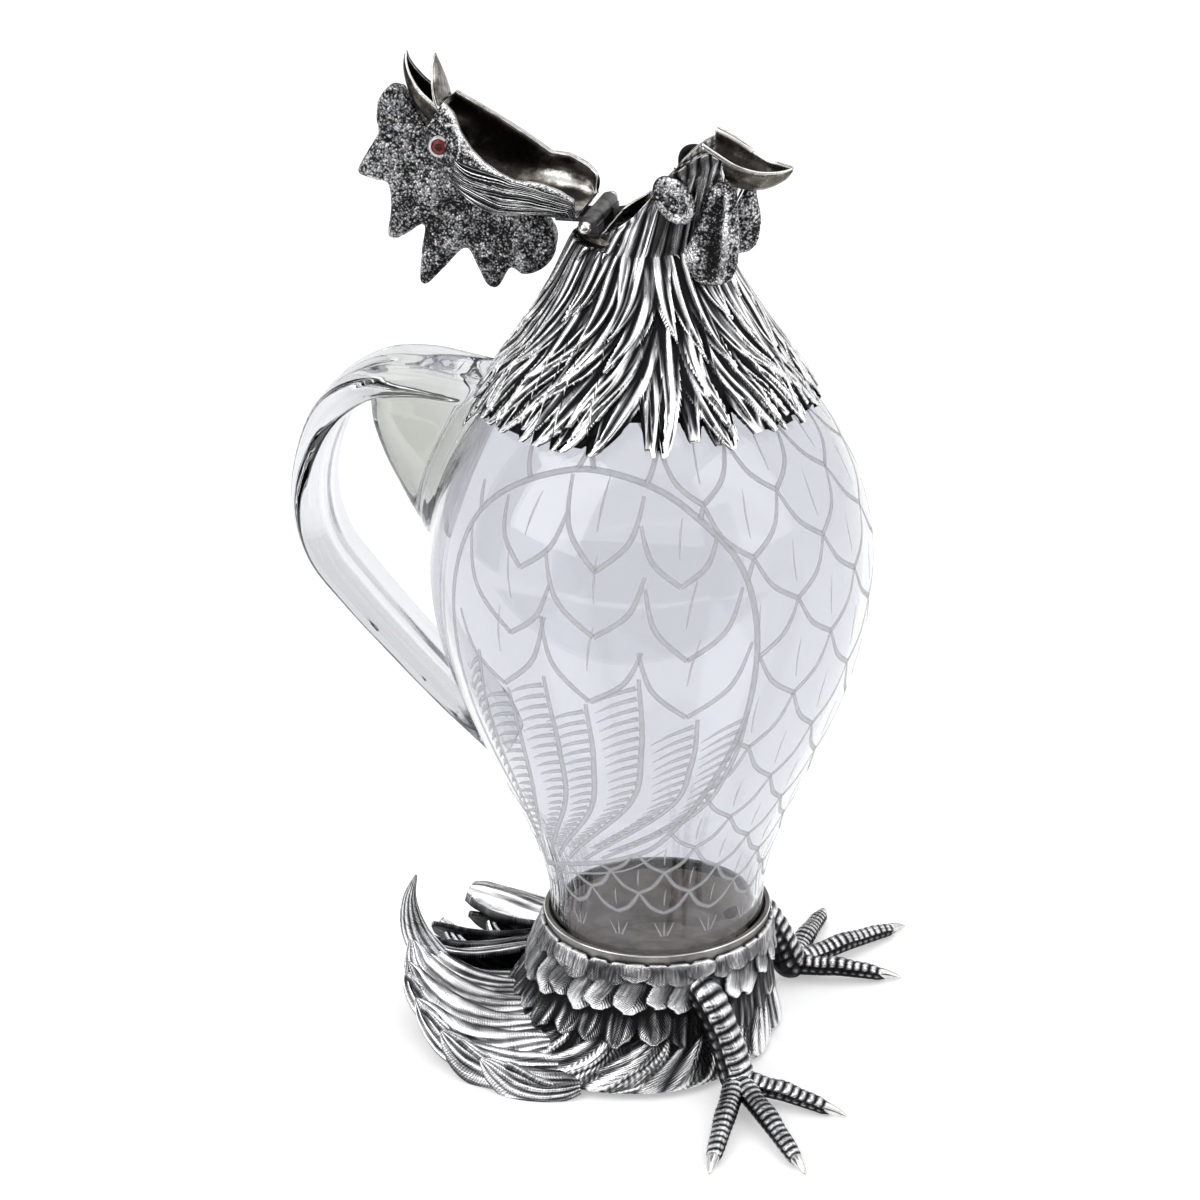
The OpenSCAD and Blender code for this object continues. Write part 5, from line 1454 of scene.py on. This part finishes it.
def grained(points, outward, depth, size):
    """Moves points outward by grains of a size in millimetres; gives the points and their polish."""
    heights = np.empty(len(points))
    for i, p in enumerate(points / size):
        near = noise.voronoi(p.tolist())[0]
        heights[i] = min(1.0, 1.6 * (near[1] - near[0]))
    folds = np.array([noise.noise((p * FOLDS_PER_MM).tolist()) for p in points])
    moved = points + outward * (depth * heights + FOLD_MM * folds)[:, None]
    return moved, 0.2 + 0.55 * heights + 0.5 * folds


def edge_distance(points, outline):
    """Distance of each flat point to a closed outline."""
    start, way = outline, np.roll(outline, -1, 0) - outline
    gap = points[:, None] - start[None]
    along = np.clip((gap * way).sum(-1) / np.maximum((way**2).sum(-1), 1e-9), 0, 1)
    return np.sqrt((((gap - along[..., None] * way) ** 2).sum(-1)).min(1))


print("Grains and folds ready")

# %% [markdown]
# The comb starts as a flat slab cut to its outline, is remeshed into even small faces, and is
# rounded like a pillow by the distance to its edge. Its root follows the crown of the head.

# %% The comb
# The comb's outline in shares of its length and height, from the front over the spikes to the back
COMB_LINE = [
    (0.955, 0.14), (1.0, 0.18), (0.998, 0.29), (0.965, 0.38), (0.925, 0.44), (0.915, 0.57), (0.905, 0.68),
    (0.888, 0.71), (0.86, 0.7), (0.815, 0.675), (0.765, 0.65), (0.7, 0.75), (0.655, 0.865), (0.632, 0.9),
    (0.603, 0.885), (0.58, 0.82), (0.545, 0.71), (0.49, 0.84), (0.435, 0.965), (0.41, 1.0), (0.385, 0.98),
    (0.372, 0.86), (0.35, 0.665), (0.27, 0.7), (0.2, 0.75), (0.165, 0.755), (0.143, 0.72), (0.15, 0.59),
    (0.09, 0.57), (0.05, 0.5), (0.035, 0.41), (0.05, 0.33), (0.1, 0.25), (0.19, 0.205)]
COMB_LEN = 66.5
COMB_H = 49.5
COMB_HALF = 2.6
# The rounding starts this far from the edge, and under this height it fades out, where the root is
COMB_ROUND = 2.8
COMB_ROOT_H = 16
COMB_FACE = 0.42
FLESH_ROUNDS = 2


def make_comb():
    crest = curve(COMB_LINE, np.linspace(0, 1, 240)) * (COMB_LEN, COMB_H)
    root = np.array([(share[0] * HEAD_LEN, share[2] * CROWN_H - 1.5) for share in HEAD_LINE[7::-1]])
    outline = np.concatenate([crest, root, [[59, 8]]])
    slab = Casting()
    slab.add(np.stack([np.insert(outline, 1, side, axis=1) for side in (-COMB_HALF, COMB_HALF)]))
    points, faces = remeshed(slab, COMB_FACE, FLESH_ROUNDS)
    away = edge_distance(points[:, [0, 2]], outline)
    height = points[:, 2]
    rooted = np.maximum(away, 3 * smooth((COMB_ROOT_H - height) / 4))
    away = np.where(height < COMB_ROOT_H, rooted, away)
    round_off = np.sqrt(1 - (1 - np.clip((away + 0.1) / COMB_ROUND, 0, 1)) ** 2)
    points[:, 1] *= round_off
    outward = np.zeros_like(points)
    outward[:, 1] = np.sign(points[:, 1]) * np.clip(round_off * 1.5 - 0.3, 0, 1)
    points, polish = grained(points, outward, 0.35, 1.05)
    comb = Casting()
    comb.add_mesh(from_head(points), faces, [], polish)
    comb.make("comb_grained", "head", "granulated_silver", PITTED_SILVER, ["comb"])


make_comb()

# %% [markdown]
# Each wattle is lofted: rings of points round a line that hangs from the root of the spout, full
# at the bottom, with folds down its length. The earlobe is a loop with a second ridge inside it,
# melted together by a remesh. The right pair mirrors the left.

# %% Wattles and earlobes
# From the top down: place along the jug, aside, height, and half sizes along and across
WATTLE_LINE = [(24.6, 10.0, 266.6, 1.4, 1.1), (24.4, 9.9, 264.6, 3.1, 1.9), (24.0, 9.6, 262.5, 4.3, 2.8),
               (23.2, 11.2, 257.0, 5.5, 3.0), (22.4, 12.6, 251.0, 6.8, 3.1), (22.0, 13.6, 245.8, 7.3, 3.2),
               (22.0, 14.0, 242.2, 6.6, 3.0), (22.0, 14.1, 239.9, 4.6, 2.2), (22.0, 14.1, 238.9, 1.2, 0.7)]
WATTLE_ROWS = 90
WATTLE_COLS = 80
LOBE_FACE = 0.3
LOBE_MIDDLE = np.array([12.1, 14.9, 262.4])
# Half length, half height and thickness of the earlobe's outer loop and of the ridge inside it
LOBE_LOOPS = [(4.3, 5.2, 1.5), (2.0, 2.7, 1.05)]


def make_wattle(side, name):
    down = np.linspace(0, 1, WATTLE_ROWS)[:, None]
    line = curve(WATTLE_LINE, down[:, 0])
    turn = np.linspace(0, math.tau, WATTLE_COLS, endpoint=False)
    hollow = bell(turn - 1.75 + 0.5 * down, 0.42) * smooth((down - 0.12) / 0.25) * smooth((0.8 - down) / 0.12)
    ridge = bell(turn - 1.05, 0.25) * smooth((down - 0.1) / 0.2) * smooth((0.9 - down) / 0.1)
    lip = bell(down - 0.86, 0.05)
    fold = 1 - 0.62 * hollow + 0.3 * ridge + 0.2 * lip
    half = np.stack([line[:, 3:4] * np.cos(turn), line[:, 4:5] * np.sin(turn) * fold, 0 * fold], -1)
    outward = np.broadcast_to(axial(1.0, turn, 0.0), half.shape).reshape(-1, 3)
    points, polish = grained((line[:, None, :3] + half).reshape(-1, 3), outward, 0.28, 0.95)
    polish = polish.reshape(fold.shape) - 0.6 * hollow + 0.9 * ridge + 0.6 * lip
    # A painted highlight: one bright patch low on the side of the wattle
    polish = polish + 0.8 * bell(turn - 2.6, 0.4) * bell(down - 0.6, 0.2)
    wattle = Casting()
    wattle.add((points * (1, side, 1)).reshape(half.shape), polish)
    wattle.make(name + "_grained", "jug", "granulated_silver", PITTED_SILVER, [name])


def make_lobe(side, name):
    turn = np.linspace(0, math.tau, 60, endpoint=False)
    ring = np.linspace(0, math.tau, 12, endpoint=False)[:, None]
    c, s = np.cos(turn), np.sin(turn)
    out = np.stack([c, 0 * turn, s], -1)[:, None]
    soft = Casting()
    for half_x, half_z, size in LOBE_LOOPS:
        line = LOBE_MIDDLE + np.stack([half_x * c - 0.35 * half_z * s, 0.4 * c, half_z * s], -1)
        tube = line[:, None] + size * (out * np.cos(ring) + np.array([0, 1, 0]) * np.sin(ring))
        soft.add(tube, loop=True)
    disc = []
    for k in np.linspace(-1, 1, 14):
        half_x = 4.4 * math.sqrt(max(0.01, 1 - k * k))
        disc.append(LOBE_MIDDLE + np.stack([half_x * c - 1.8 * k, 0.5 * s, 0 * turn + 5.2 * k], -1))
    soft.add(np.array(disc))
    points, faces = remeshed(soft, LOBE_FACE, FLESH_ROUNDS)
    points, polish = grained(points, np.broadcast_to((0.0, 1.0, 0.0), points.shape), 0.14, 0.8)
    polish = polish - 0.6 + 0.6 * (points[:, 1] - LOBE_MIDDLE[1])
    lobe = Casting()
    lobe.add_mesh(points * (1, side, 1), faces, [], polish)
    lobe.make(name + "_folded", "jug", "granulated_silver", PITTED_SILVER, [name])


for side, where in ((1, "left"), (-1, "right")):
    make_wattle(side, "wattle_" + where)
    make_lobe(side, "earlobe_" + where)

# %% [markdown]
# The tail lies behind the base like a shallow bowl. A fan of dark feathers makes its floor. Long
# ribbons leave the sides of the base, run back along the bowl's wall and curl up at their ends,
# each over the one below, and one sickle feather stands in the middle. The lines follow the packed
# model's tail, so the dressed tail fills the same space.

# %% The tail
TAIL_SPREAD = math.radians(60)
TAIL_REACH = 76
TAIL_CURL_H = 17
TAIL_START_R = 31.6
FAN_FEATHERS = 9
FAN_WIDTH = 21
TAIL_LIFT = [0.75, 0.42, 0.25, 0.2, 0.3, 0.55, 1.0]
TAIL_SHAPE = [0.6, 0.8, 0.92, 1.0, 1.0, 0.86, 0.5, 0.1]
RIBBON_SHAPE = [0.5, 0.8, 0.95, 1.0, 0.98, 0.85, 0.58, 0.1]
# Middle lines of the ribbons on the right side, the lowest first, with width and outward normal
RIBBONS = [
    ([(-12, -46, 4), (-23, -48.5, 3.2), (-33, -48.5, 4), (-42, -46, 8.5)], 11, (-0.3, -0.75, 0.6)),
    ([(-19, -42, 7), (-33, -44.5, 4.8), (-46, -43, 5.8), (-56, -38.5, 12)], 13, (-0.3, -0.75, 0.6)),
    ([(-21, -38, 11), (-38, -39, 7.5), (-54, -35, 7.5), (-67, -28, 15.5)], 14, (-0.3, -0.7, 0.65)),
    ([(-24, -33, 14), (-42, -31.5, 9.8), (-57, -25.5, 9.6), (-68, -19, 13), (-74, -13, 19)], 13.5,
     (-0.25, -0.6, 0.75)),
    ([(-27, -26, 16), (-45, -23, 12), (-60, -16, 11.4), (-71, -9, 15), (-76, -3, 21.5)], 13,
     (-0.1, -0.5, 0.85)),
    ([(-29, -17, 17.5), (-46, -14, 14), (-61, -8, 13.4), (-71, -3.5, 17), (-76, -0.5, 25)], 11,
     (0.1, -0.35, 0.93))]
# A rounded lock that shows behind the far side
FAR_LOCK = [(-33, 27, 19), (-47, 31, 17.5), (-58, 33.5, 18), (-68, 34.5, 20.5)]
FAR_LOCK_SHAPE = [0.6, 0.8, 0.95, 1, 1, 0.95, 0.85, 0.55]
# Middle line of the sickle feather with its half width and half thickness
SICKLE_LINE = [(-44, 7.9, 4.0, 7.0), (-56.8, 6.6, 4.8, 6.6), (-67.2, 10.4, 5.9, 5.5), (-73.2, 17.4, 5.2, 4.2),
               (-76.4, 24.9, 4.1, 3.1), (-76.8, 33.6, 2.2, 1.8), (-74.4, 41.5, 0.4, 0.4)]


def lay_ribbon(tail, line, width, normal, shape=RIBBON_SHAPE, **look):
    spine = curve(line, np.linspace(0, 1, 40))
    normals = np.broadcast_to(unit(np.array(normal, float)), spine.shape)
    look = {"crown": 0.12, "thick": 1.6, "base_polish": 0.13, **look}
    feather(tail, spine, normals, width, shape, locks=5, depth=0.45, wavy=0.3, across=41,
            phase=chance.uniform(0, 6), **look)


def lay_fan(tail, s):
    """The dark feathers of the floor, from one side round to the other."""
    for place in np.linspace(-1, 1, FAN_FEATHERS):
        r = mix(TAIL_START_R, TAIL_REACH * (1 - 0.24 * place**2), s)
        turn = math.pi - place * TAIL_SPREAD + 0.1 * place * s**2
        z = 1.4 + TAIL_CURL_H * (1 - 0.55 * place**2) * profile(TAIL_LIFT, s)
        normal = unit(axial(-np.gradient(z, r), turn, 1.0))
        feather(tail, axial(r, turn, z), normal, FAN_WIDTH, TAIL_SHAPE, crown=0.2, locks=5, depth=0.8,
                thick=1.4, across=31, base_polish=0.4, phase=chance.uniform(0, 6))


def stand_sickle(tail, s):
    """A closed grooved tube that tapers to its tip."""
    x, z, half, thick = curve(SICKLE_LINE, s).T[..., None]
    tangent = unit(np.gradient(np.concatenate([x, z], -1), axis=0))
    turn = np.linspace(0, math.tau, 72, endpoint=False)
    lock = np.abs(np.sin(6 * turn + 0.9 * np.sin(3 * s[:, None]))) ** 0.7
    swell = 0.88 + 0.14 * lock * (0.6 + 0.4 * np.sin(3 * turn + 1))
    out = half * np.cos(turn) * swell
    points = np.stack([x - tangent[:, 1:] * out, thick * np.sin(turn) * swell, z + tangent[:, :1] * out], -1)
    tail.add(points, lock**2, np.stack([thick * turn, 60 * s[:, None] + 0 * turn, 0 * lock], -1))


def make_tail():
    tail = Casting()
    s = np.linspace(0, 1, 34)
    lay_fan(tail, s)
    for line, width, normal in RIBBONS:
        for side in (1, -1):
            lay_ribbon(tail, np.array(line) * (1, side, 1), width, np.array(normal) * (1, side, 1))
    lay_ribbon(tail, FAR_LOCK, 17, (-0.2, 0.1, 0.97), FAR_LOCK_SHAPE, crown=0.35, thick=3, base_polish=0.5)
    stand_sickle(tail, s)
    tail.raise_to(FLOOR_GAP)
    tail.make("tail_plumage", "jug", "oxidised_silver", TAIL_SILVER, ["tail_feathers"])


make_tail()

# %% [markdown]
# A cock's toe is ringed with plates on top, with rows of small scales at the sides and a bare pad
# below. Toe and shank are tubes whose radius steps at each plate, and the polish is high on the
# crest of a plate and low in the joint. Claws are short smooth horns.

# %% The feet
FOOT = (32, 35, 0)
TOES = [(87, 40.0), (54, 43.5), (11, 29.1)]
TOE_R = 3.5
# Radius along a toe and how far its middle stands over its own radius, in shares of TOE_R
TOE_SHAPE = [1.0, 0.97, 0.88, 0.9, 0.78, 0.72, 0.56]
TOE_LIFT = [0.6, 0.55, 0.5, 0.5, 0.35, 0.2, 0.0]
TOE_FLAT = 0.9
TOE_PITCH = 2.45
CLAW = 6.7
CLAW_R = 1.75
SHANK_LINE = [(34.5, 37.0, 3.6), (32.0, 35.2, 6.0), (30.3, 34.3, 11.0), (28.2, 33.2, 17), (25.2, 31.6, 23),
              (22.0, 29.2, 27.5), (18.0, 25.6, 29.5)]
SHANK_R = [3.6, 5.0, 4.9, 4.7, 4.8, 4.9, 4.6]
SHANK_PITCH = 3.1


def scaled_tube(casting, line, radii, pitch, flat, sides=40, plates=1.0):
    """A tube with plates across its upper side and staggered scales beside them."""
    tangent = unit(np.gradient(line, axis=0))
    aside = unit(np.cross(tangent, np.array([0.02, 0.01, 1.0])))
    upward = np.cross(aside, tangent)
    turn = np.linspace(0, math.tau, sides, endpoint=False)
    top = np.cos(turn)
    run = run_of(line)[:, None]
    upper = smooth((top - 0.25) / 0.25)
    stagger = 0.5 * (1 - upper) + 0.12 * np.sin(2 * turn)
    plate = np.sin(math.pi * ((run / pitch + stagger) % 1)) ** 0.45
    edge = bell(top - 0.25, 0.12) + bell(top + 0.35, 0.1)
    below = smooth((-top - 0.3) / 0.3)
    ends = smooth(run / 2) * smooth((run[-1] - run) / 1.5)
    relief = plates * (0.16 * (plate - 0.6) - 0.09 * edge) * (1 - 0.8 * below) * ends
    r = radii[:, None] * (1 + relief)
    out = aside[:, None] * (r * np.sin(turn))[..., None]
    rise = upward[:, None] * (r * flat * top)[..., None]
    points = line[:, None] + out + rise
    points[..., 2] = np.maximum(points[..., 2], 0.0)
    polish = -0.1 + 0.95 * plate**2 * (1 - edge) * (1 - 0.85 * below) * mix(0.7, 1.0, upper)
    casting.add(points, polish, np.stack([r * turn, run + 0 * r, 0 * r], -1))


def make_foot(side, where):
    foot, claws = Casting(), Casting()
    for direction, length in TOES:
        heading = axial(1.0, math.radians(direction), 0.0)
        s = np.linspace(0, 1, 150)
        radii = profile(TOE_SHAPE, s) * TOE_R
        line = FOOT + heading * (length * s)[:, None]
        line[:, 2] = radii * TOE_FLAT + profile(TOE_LIFT, s) * TOE_R
        scaled_tube(foot, line, radii * mix(1, 0.75, smooth((s - 0.93) / 0.07)), TOE_PITCH, TOE_FLAT)
        k = np.linspace(0, 1, 20)
        horn = FOOT + heading * (length - 1.5 + CLAW * k)[:, None]
        horn[:, 2] = mix(2.3, 0.75, k**1.5)
        horn_r = CLAW_R * np.sqrt(np.maximum(1 - k**2, 0.004)) * mix(1, 0.7, k)
        scaled_tube(claws, horn, horn_r, 50, 1.0, 18, 0.0)
    s = np.linspace(0, 1, 140)
    scaled_tube(foot, curve(SHANK_LINE, s), profile(SHANK_R, s), SHANK_PITCH, 1.0)
    if side < 0:
        foot, claws = foot.mirrored(), claws.mirrored()
    foot.make("foot_scaled_" + where, "jug", "bright_silver", FOOT_SILVER, ["foot_" + where])
    claws.make("claws_" + where, "jug", "bright_silver", BRIGHT_SILVER)


for side, where in ((1, "left"), (-1, "right")):
    make_foot(side, where)

# %% [markdown]
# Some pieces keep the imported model's own shape, since they are plain turned or filed parts or lie
# hidden behind others: cement, cup, plate, sleeve, hinge and eyes. They only take a finish. The eye's
# finish tells pupil, ruby and edge apart by the distance to the middle of the eye.

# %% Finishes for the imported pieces
def cement_finish(name, dark, pale):
    material, tree, shader = new_material(name)
    tone = ramp(tree, object_noise(tree, 0.15, 4), [(0.35, dark), (0.65, pale)])
    wire(tree, shader, {"Base Color": tone, "Roughness": 0.8})
    return material


def ruby_finish(name, middle):
    """The distance to the middle of the eye's front picks pupil, ruby or edge."""
    material, tree, shader = new_material(name)
    share = sum_of(tree, distance_to(tree, middle), 0.2 / MM, 0.0)
    share = sum_of(tree, object_noise(tree, 0.5, 2), 0.04, share)
    tone = ramp(tree, share, [(0.2, (0.03, 0.02, 0.02)), (0.29, (0.2, 0.018, 0.014)),
                              (0.5, (0.1, 0.009, 0.008))])
    wire(tree, shader, {"Base Color": tone, "Roughness": 0.08, "Specular IOR Level": 0.25})
    return material


def finish_packed():
    base_cement = cement_finish("old_cement", (0.32, 0.265, 0.2), (0.6, 0.52, 0.42))
    neck_cement = cement_finish("grey_cement", (0.16, 0.155, 0.15), (0.34, 0.33, 0.32))
    cup_silver = bright_silver("cup_silver", (0.3, 0.29, 0.27), 0.4, 0.35)
    bezel_silver = bright_silver("bezel_silver", (0.98, 0.98, 0.97), 0.05, 0.42)
    finishes = {"base_cement": base_cement, "neck_cement": neck_cement, "base_plate": DARK_SILVER,
                "neck_sleeve": DARK_SILVER, "base_cup": cup_silver, "hinge_ears": DARK_SILVER,
                "hinge_leaf": DARK_SILVER, "hinge_pin": BRIGHT_SILVER, "eye_bezel_left": bezel_silver,
                "eye_bezel_right": bezel_silver}
    for side in ("left", "right"):
        low, high = node_box("eye_" + side)
        front = (low + high) / 2
        front[1] = high[1] if side == "left" else low[1]
        finishes["eye_" + side] = ruby_finish("ruby_" + side, front)
    for name, finish in finishes.items():
        materials = frame["nodes"][name].data.materials
        materials.clear()
        materials.append(finish)
    print("Finished", len(finishes), "packed nodes")


finish_packed()

# %% [markdown]
# The photograph was taken on white with soft light from all round. The world is white where the
# camera, a reflection or the glass looks at it, and lower as a light.

# %% The world
WORLD_LIGHT = 0.62


def set_world():
    world = bpy.data.worlds.new("world")
    world.use_nodes = True
    bpy.context.scene.world = world
    tree = world.node_tree
    path = put(tree, "ShaderNodeLightPath")
    seen = path.outputs["Is Camera Ray"]
    for ray in ("Is Glossy Ray", "Is Transmission Ray"):
        either = put(tree, "ShaderNodeMath", {0: seen, 1: path.outputs[ray]}, operation="MAXIMUM")
        seen = either.outputs[0]
    strength = sum_of(tree, seen, 1 - WORLD_LIGHT, WORLD_LIGHT)
    wire(tree, tree.nodes["Background"], {"Color": (1, 1, 1, 1), "Strength": strength})


set_world()
print("The world lights at", WORLD_LIGHT, "and looks white")

# %% [markdown]
# Dark cards stand out of sight, since polished silver and the edges of clear glass only read where
# they mirror something dark. The floor glows a little by itself and keeps a soft contact shadow.
# Three soft lamps light the jug from the left, the right and above.

# %% Floor, cards and lamps
AIM = (0, 0, 130)
FLOOR_GLOW = 0.38


def face_toward(made, place, toward, front):
    """Puts an object at a place in millimetres with its front towards a point."""
    made.location = Vector(place) * MM
    made.rotation_euler = (Vector(toward) - Vector(place)).to_track_quat(front, "Y").to_euler()


def panel(name, place, size, toward):
    """A flat rectangle that faces a point; its size is in millimetres."""
    mesh = bpy.data.meshes.new(name)
    w, h = size[0] / 2 * MM, size[1] / 2 * MM
    mesh.from_pydata([(-w, -h, 0), (w, -h, 0), (w, h, 0), (-w, h, 0)], [], [(0, 1, 2, 3)])
    made = placed(name, mesh)
    face_toward(made, place, toward, "Z")
    return made


def make_floor():
    floor = panel("floor", (0, 0, -0.1), (6000, 6000), (0, 0, 100))
    material, tree, shader = new_material("floor_white")
    tone = ramp(tree, object_noise(tree, 0.002, 2), [(0.3, 0.84), (0.7, 0.86)])
    wire(tree, shader, {"Base Color": tone, "Roughness": 0.6, "Specular IOR Level": 0.2,
                        "Emission Color": (1, 1, 1, 1), "Emission Strength": FLOOR_GLOW})
    floor.data.materials.append(material)


def make_card(name, place, size, grey, toward=AIM):
    card = panel(name, place, size, toward)
    material, tree, shader = new_material(name)
    tone = ramp(tree, object_noise(tree, 0.004, 2), [(0.3, grey), (0.7, grey * 1.5)])
    wire(tree, shader, {"Base Color": tone, "Roughness": 0.9})
    card.data.materials.append(material)
    card.visible_camera = False
    card.visible_shadow = False
    card.visible_diffuse = False


def lamp(name, place, size, power):
    light = bpy.data.lights.new(name, "AREA")
    light.size = size * MM
    light.energy = power
    face_toward(placed(name, light), place, AIM, "-Z")


make_floor()
lamp("left_softbox", (-900, -900, 1000), 1200, 9)
lamp("right_softbox", (1100, -300, 800), 1000, 4)
lamp("top_softbox", (100, 300, 1400), 1300, 6)
make_card("left_card", (-1300, -300, 350), (500, 1500), 0.02)
make_card("right_card", (1200, -900, 300), (500, 1500), 0.03)
make_card("front_card", (150, -1700, 250), (3000, 1100), 0.03)
make_card("rear_card", (-300, 1500, 500), (900, 900), 0.05)
make_card("apron_card", (150, -750, 3), (1800, 900), 0.04, (150, -750, 500))
print("Stage set with", len(bpy.data.lights), "lamps")
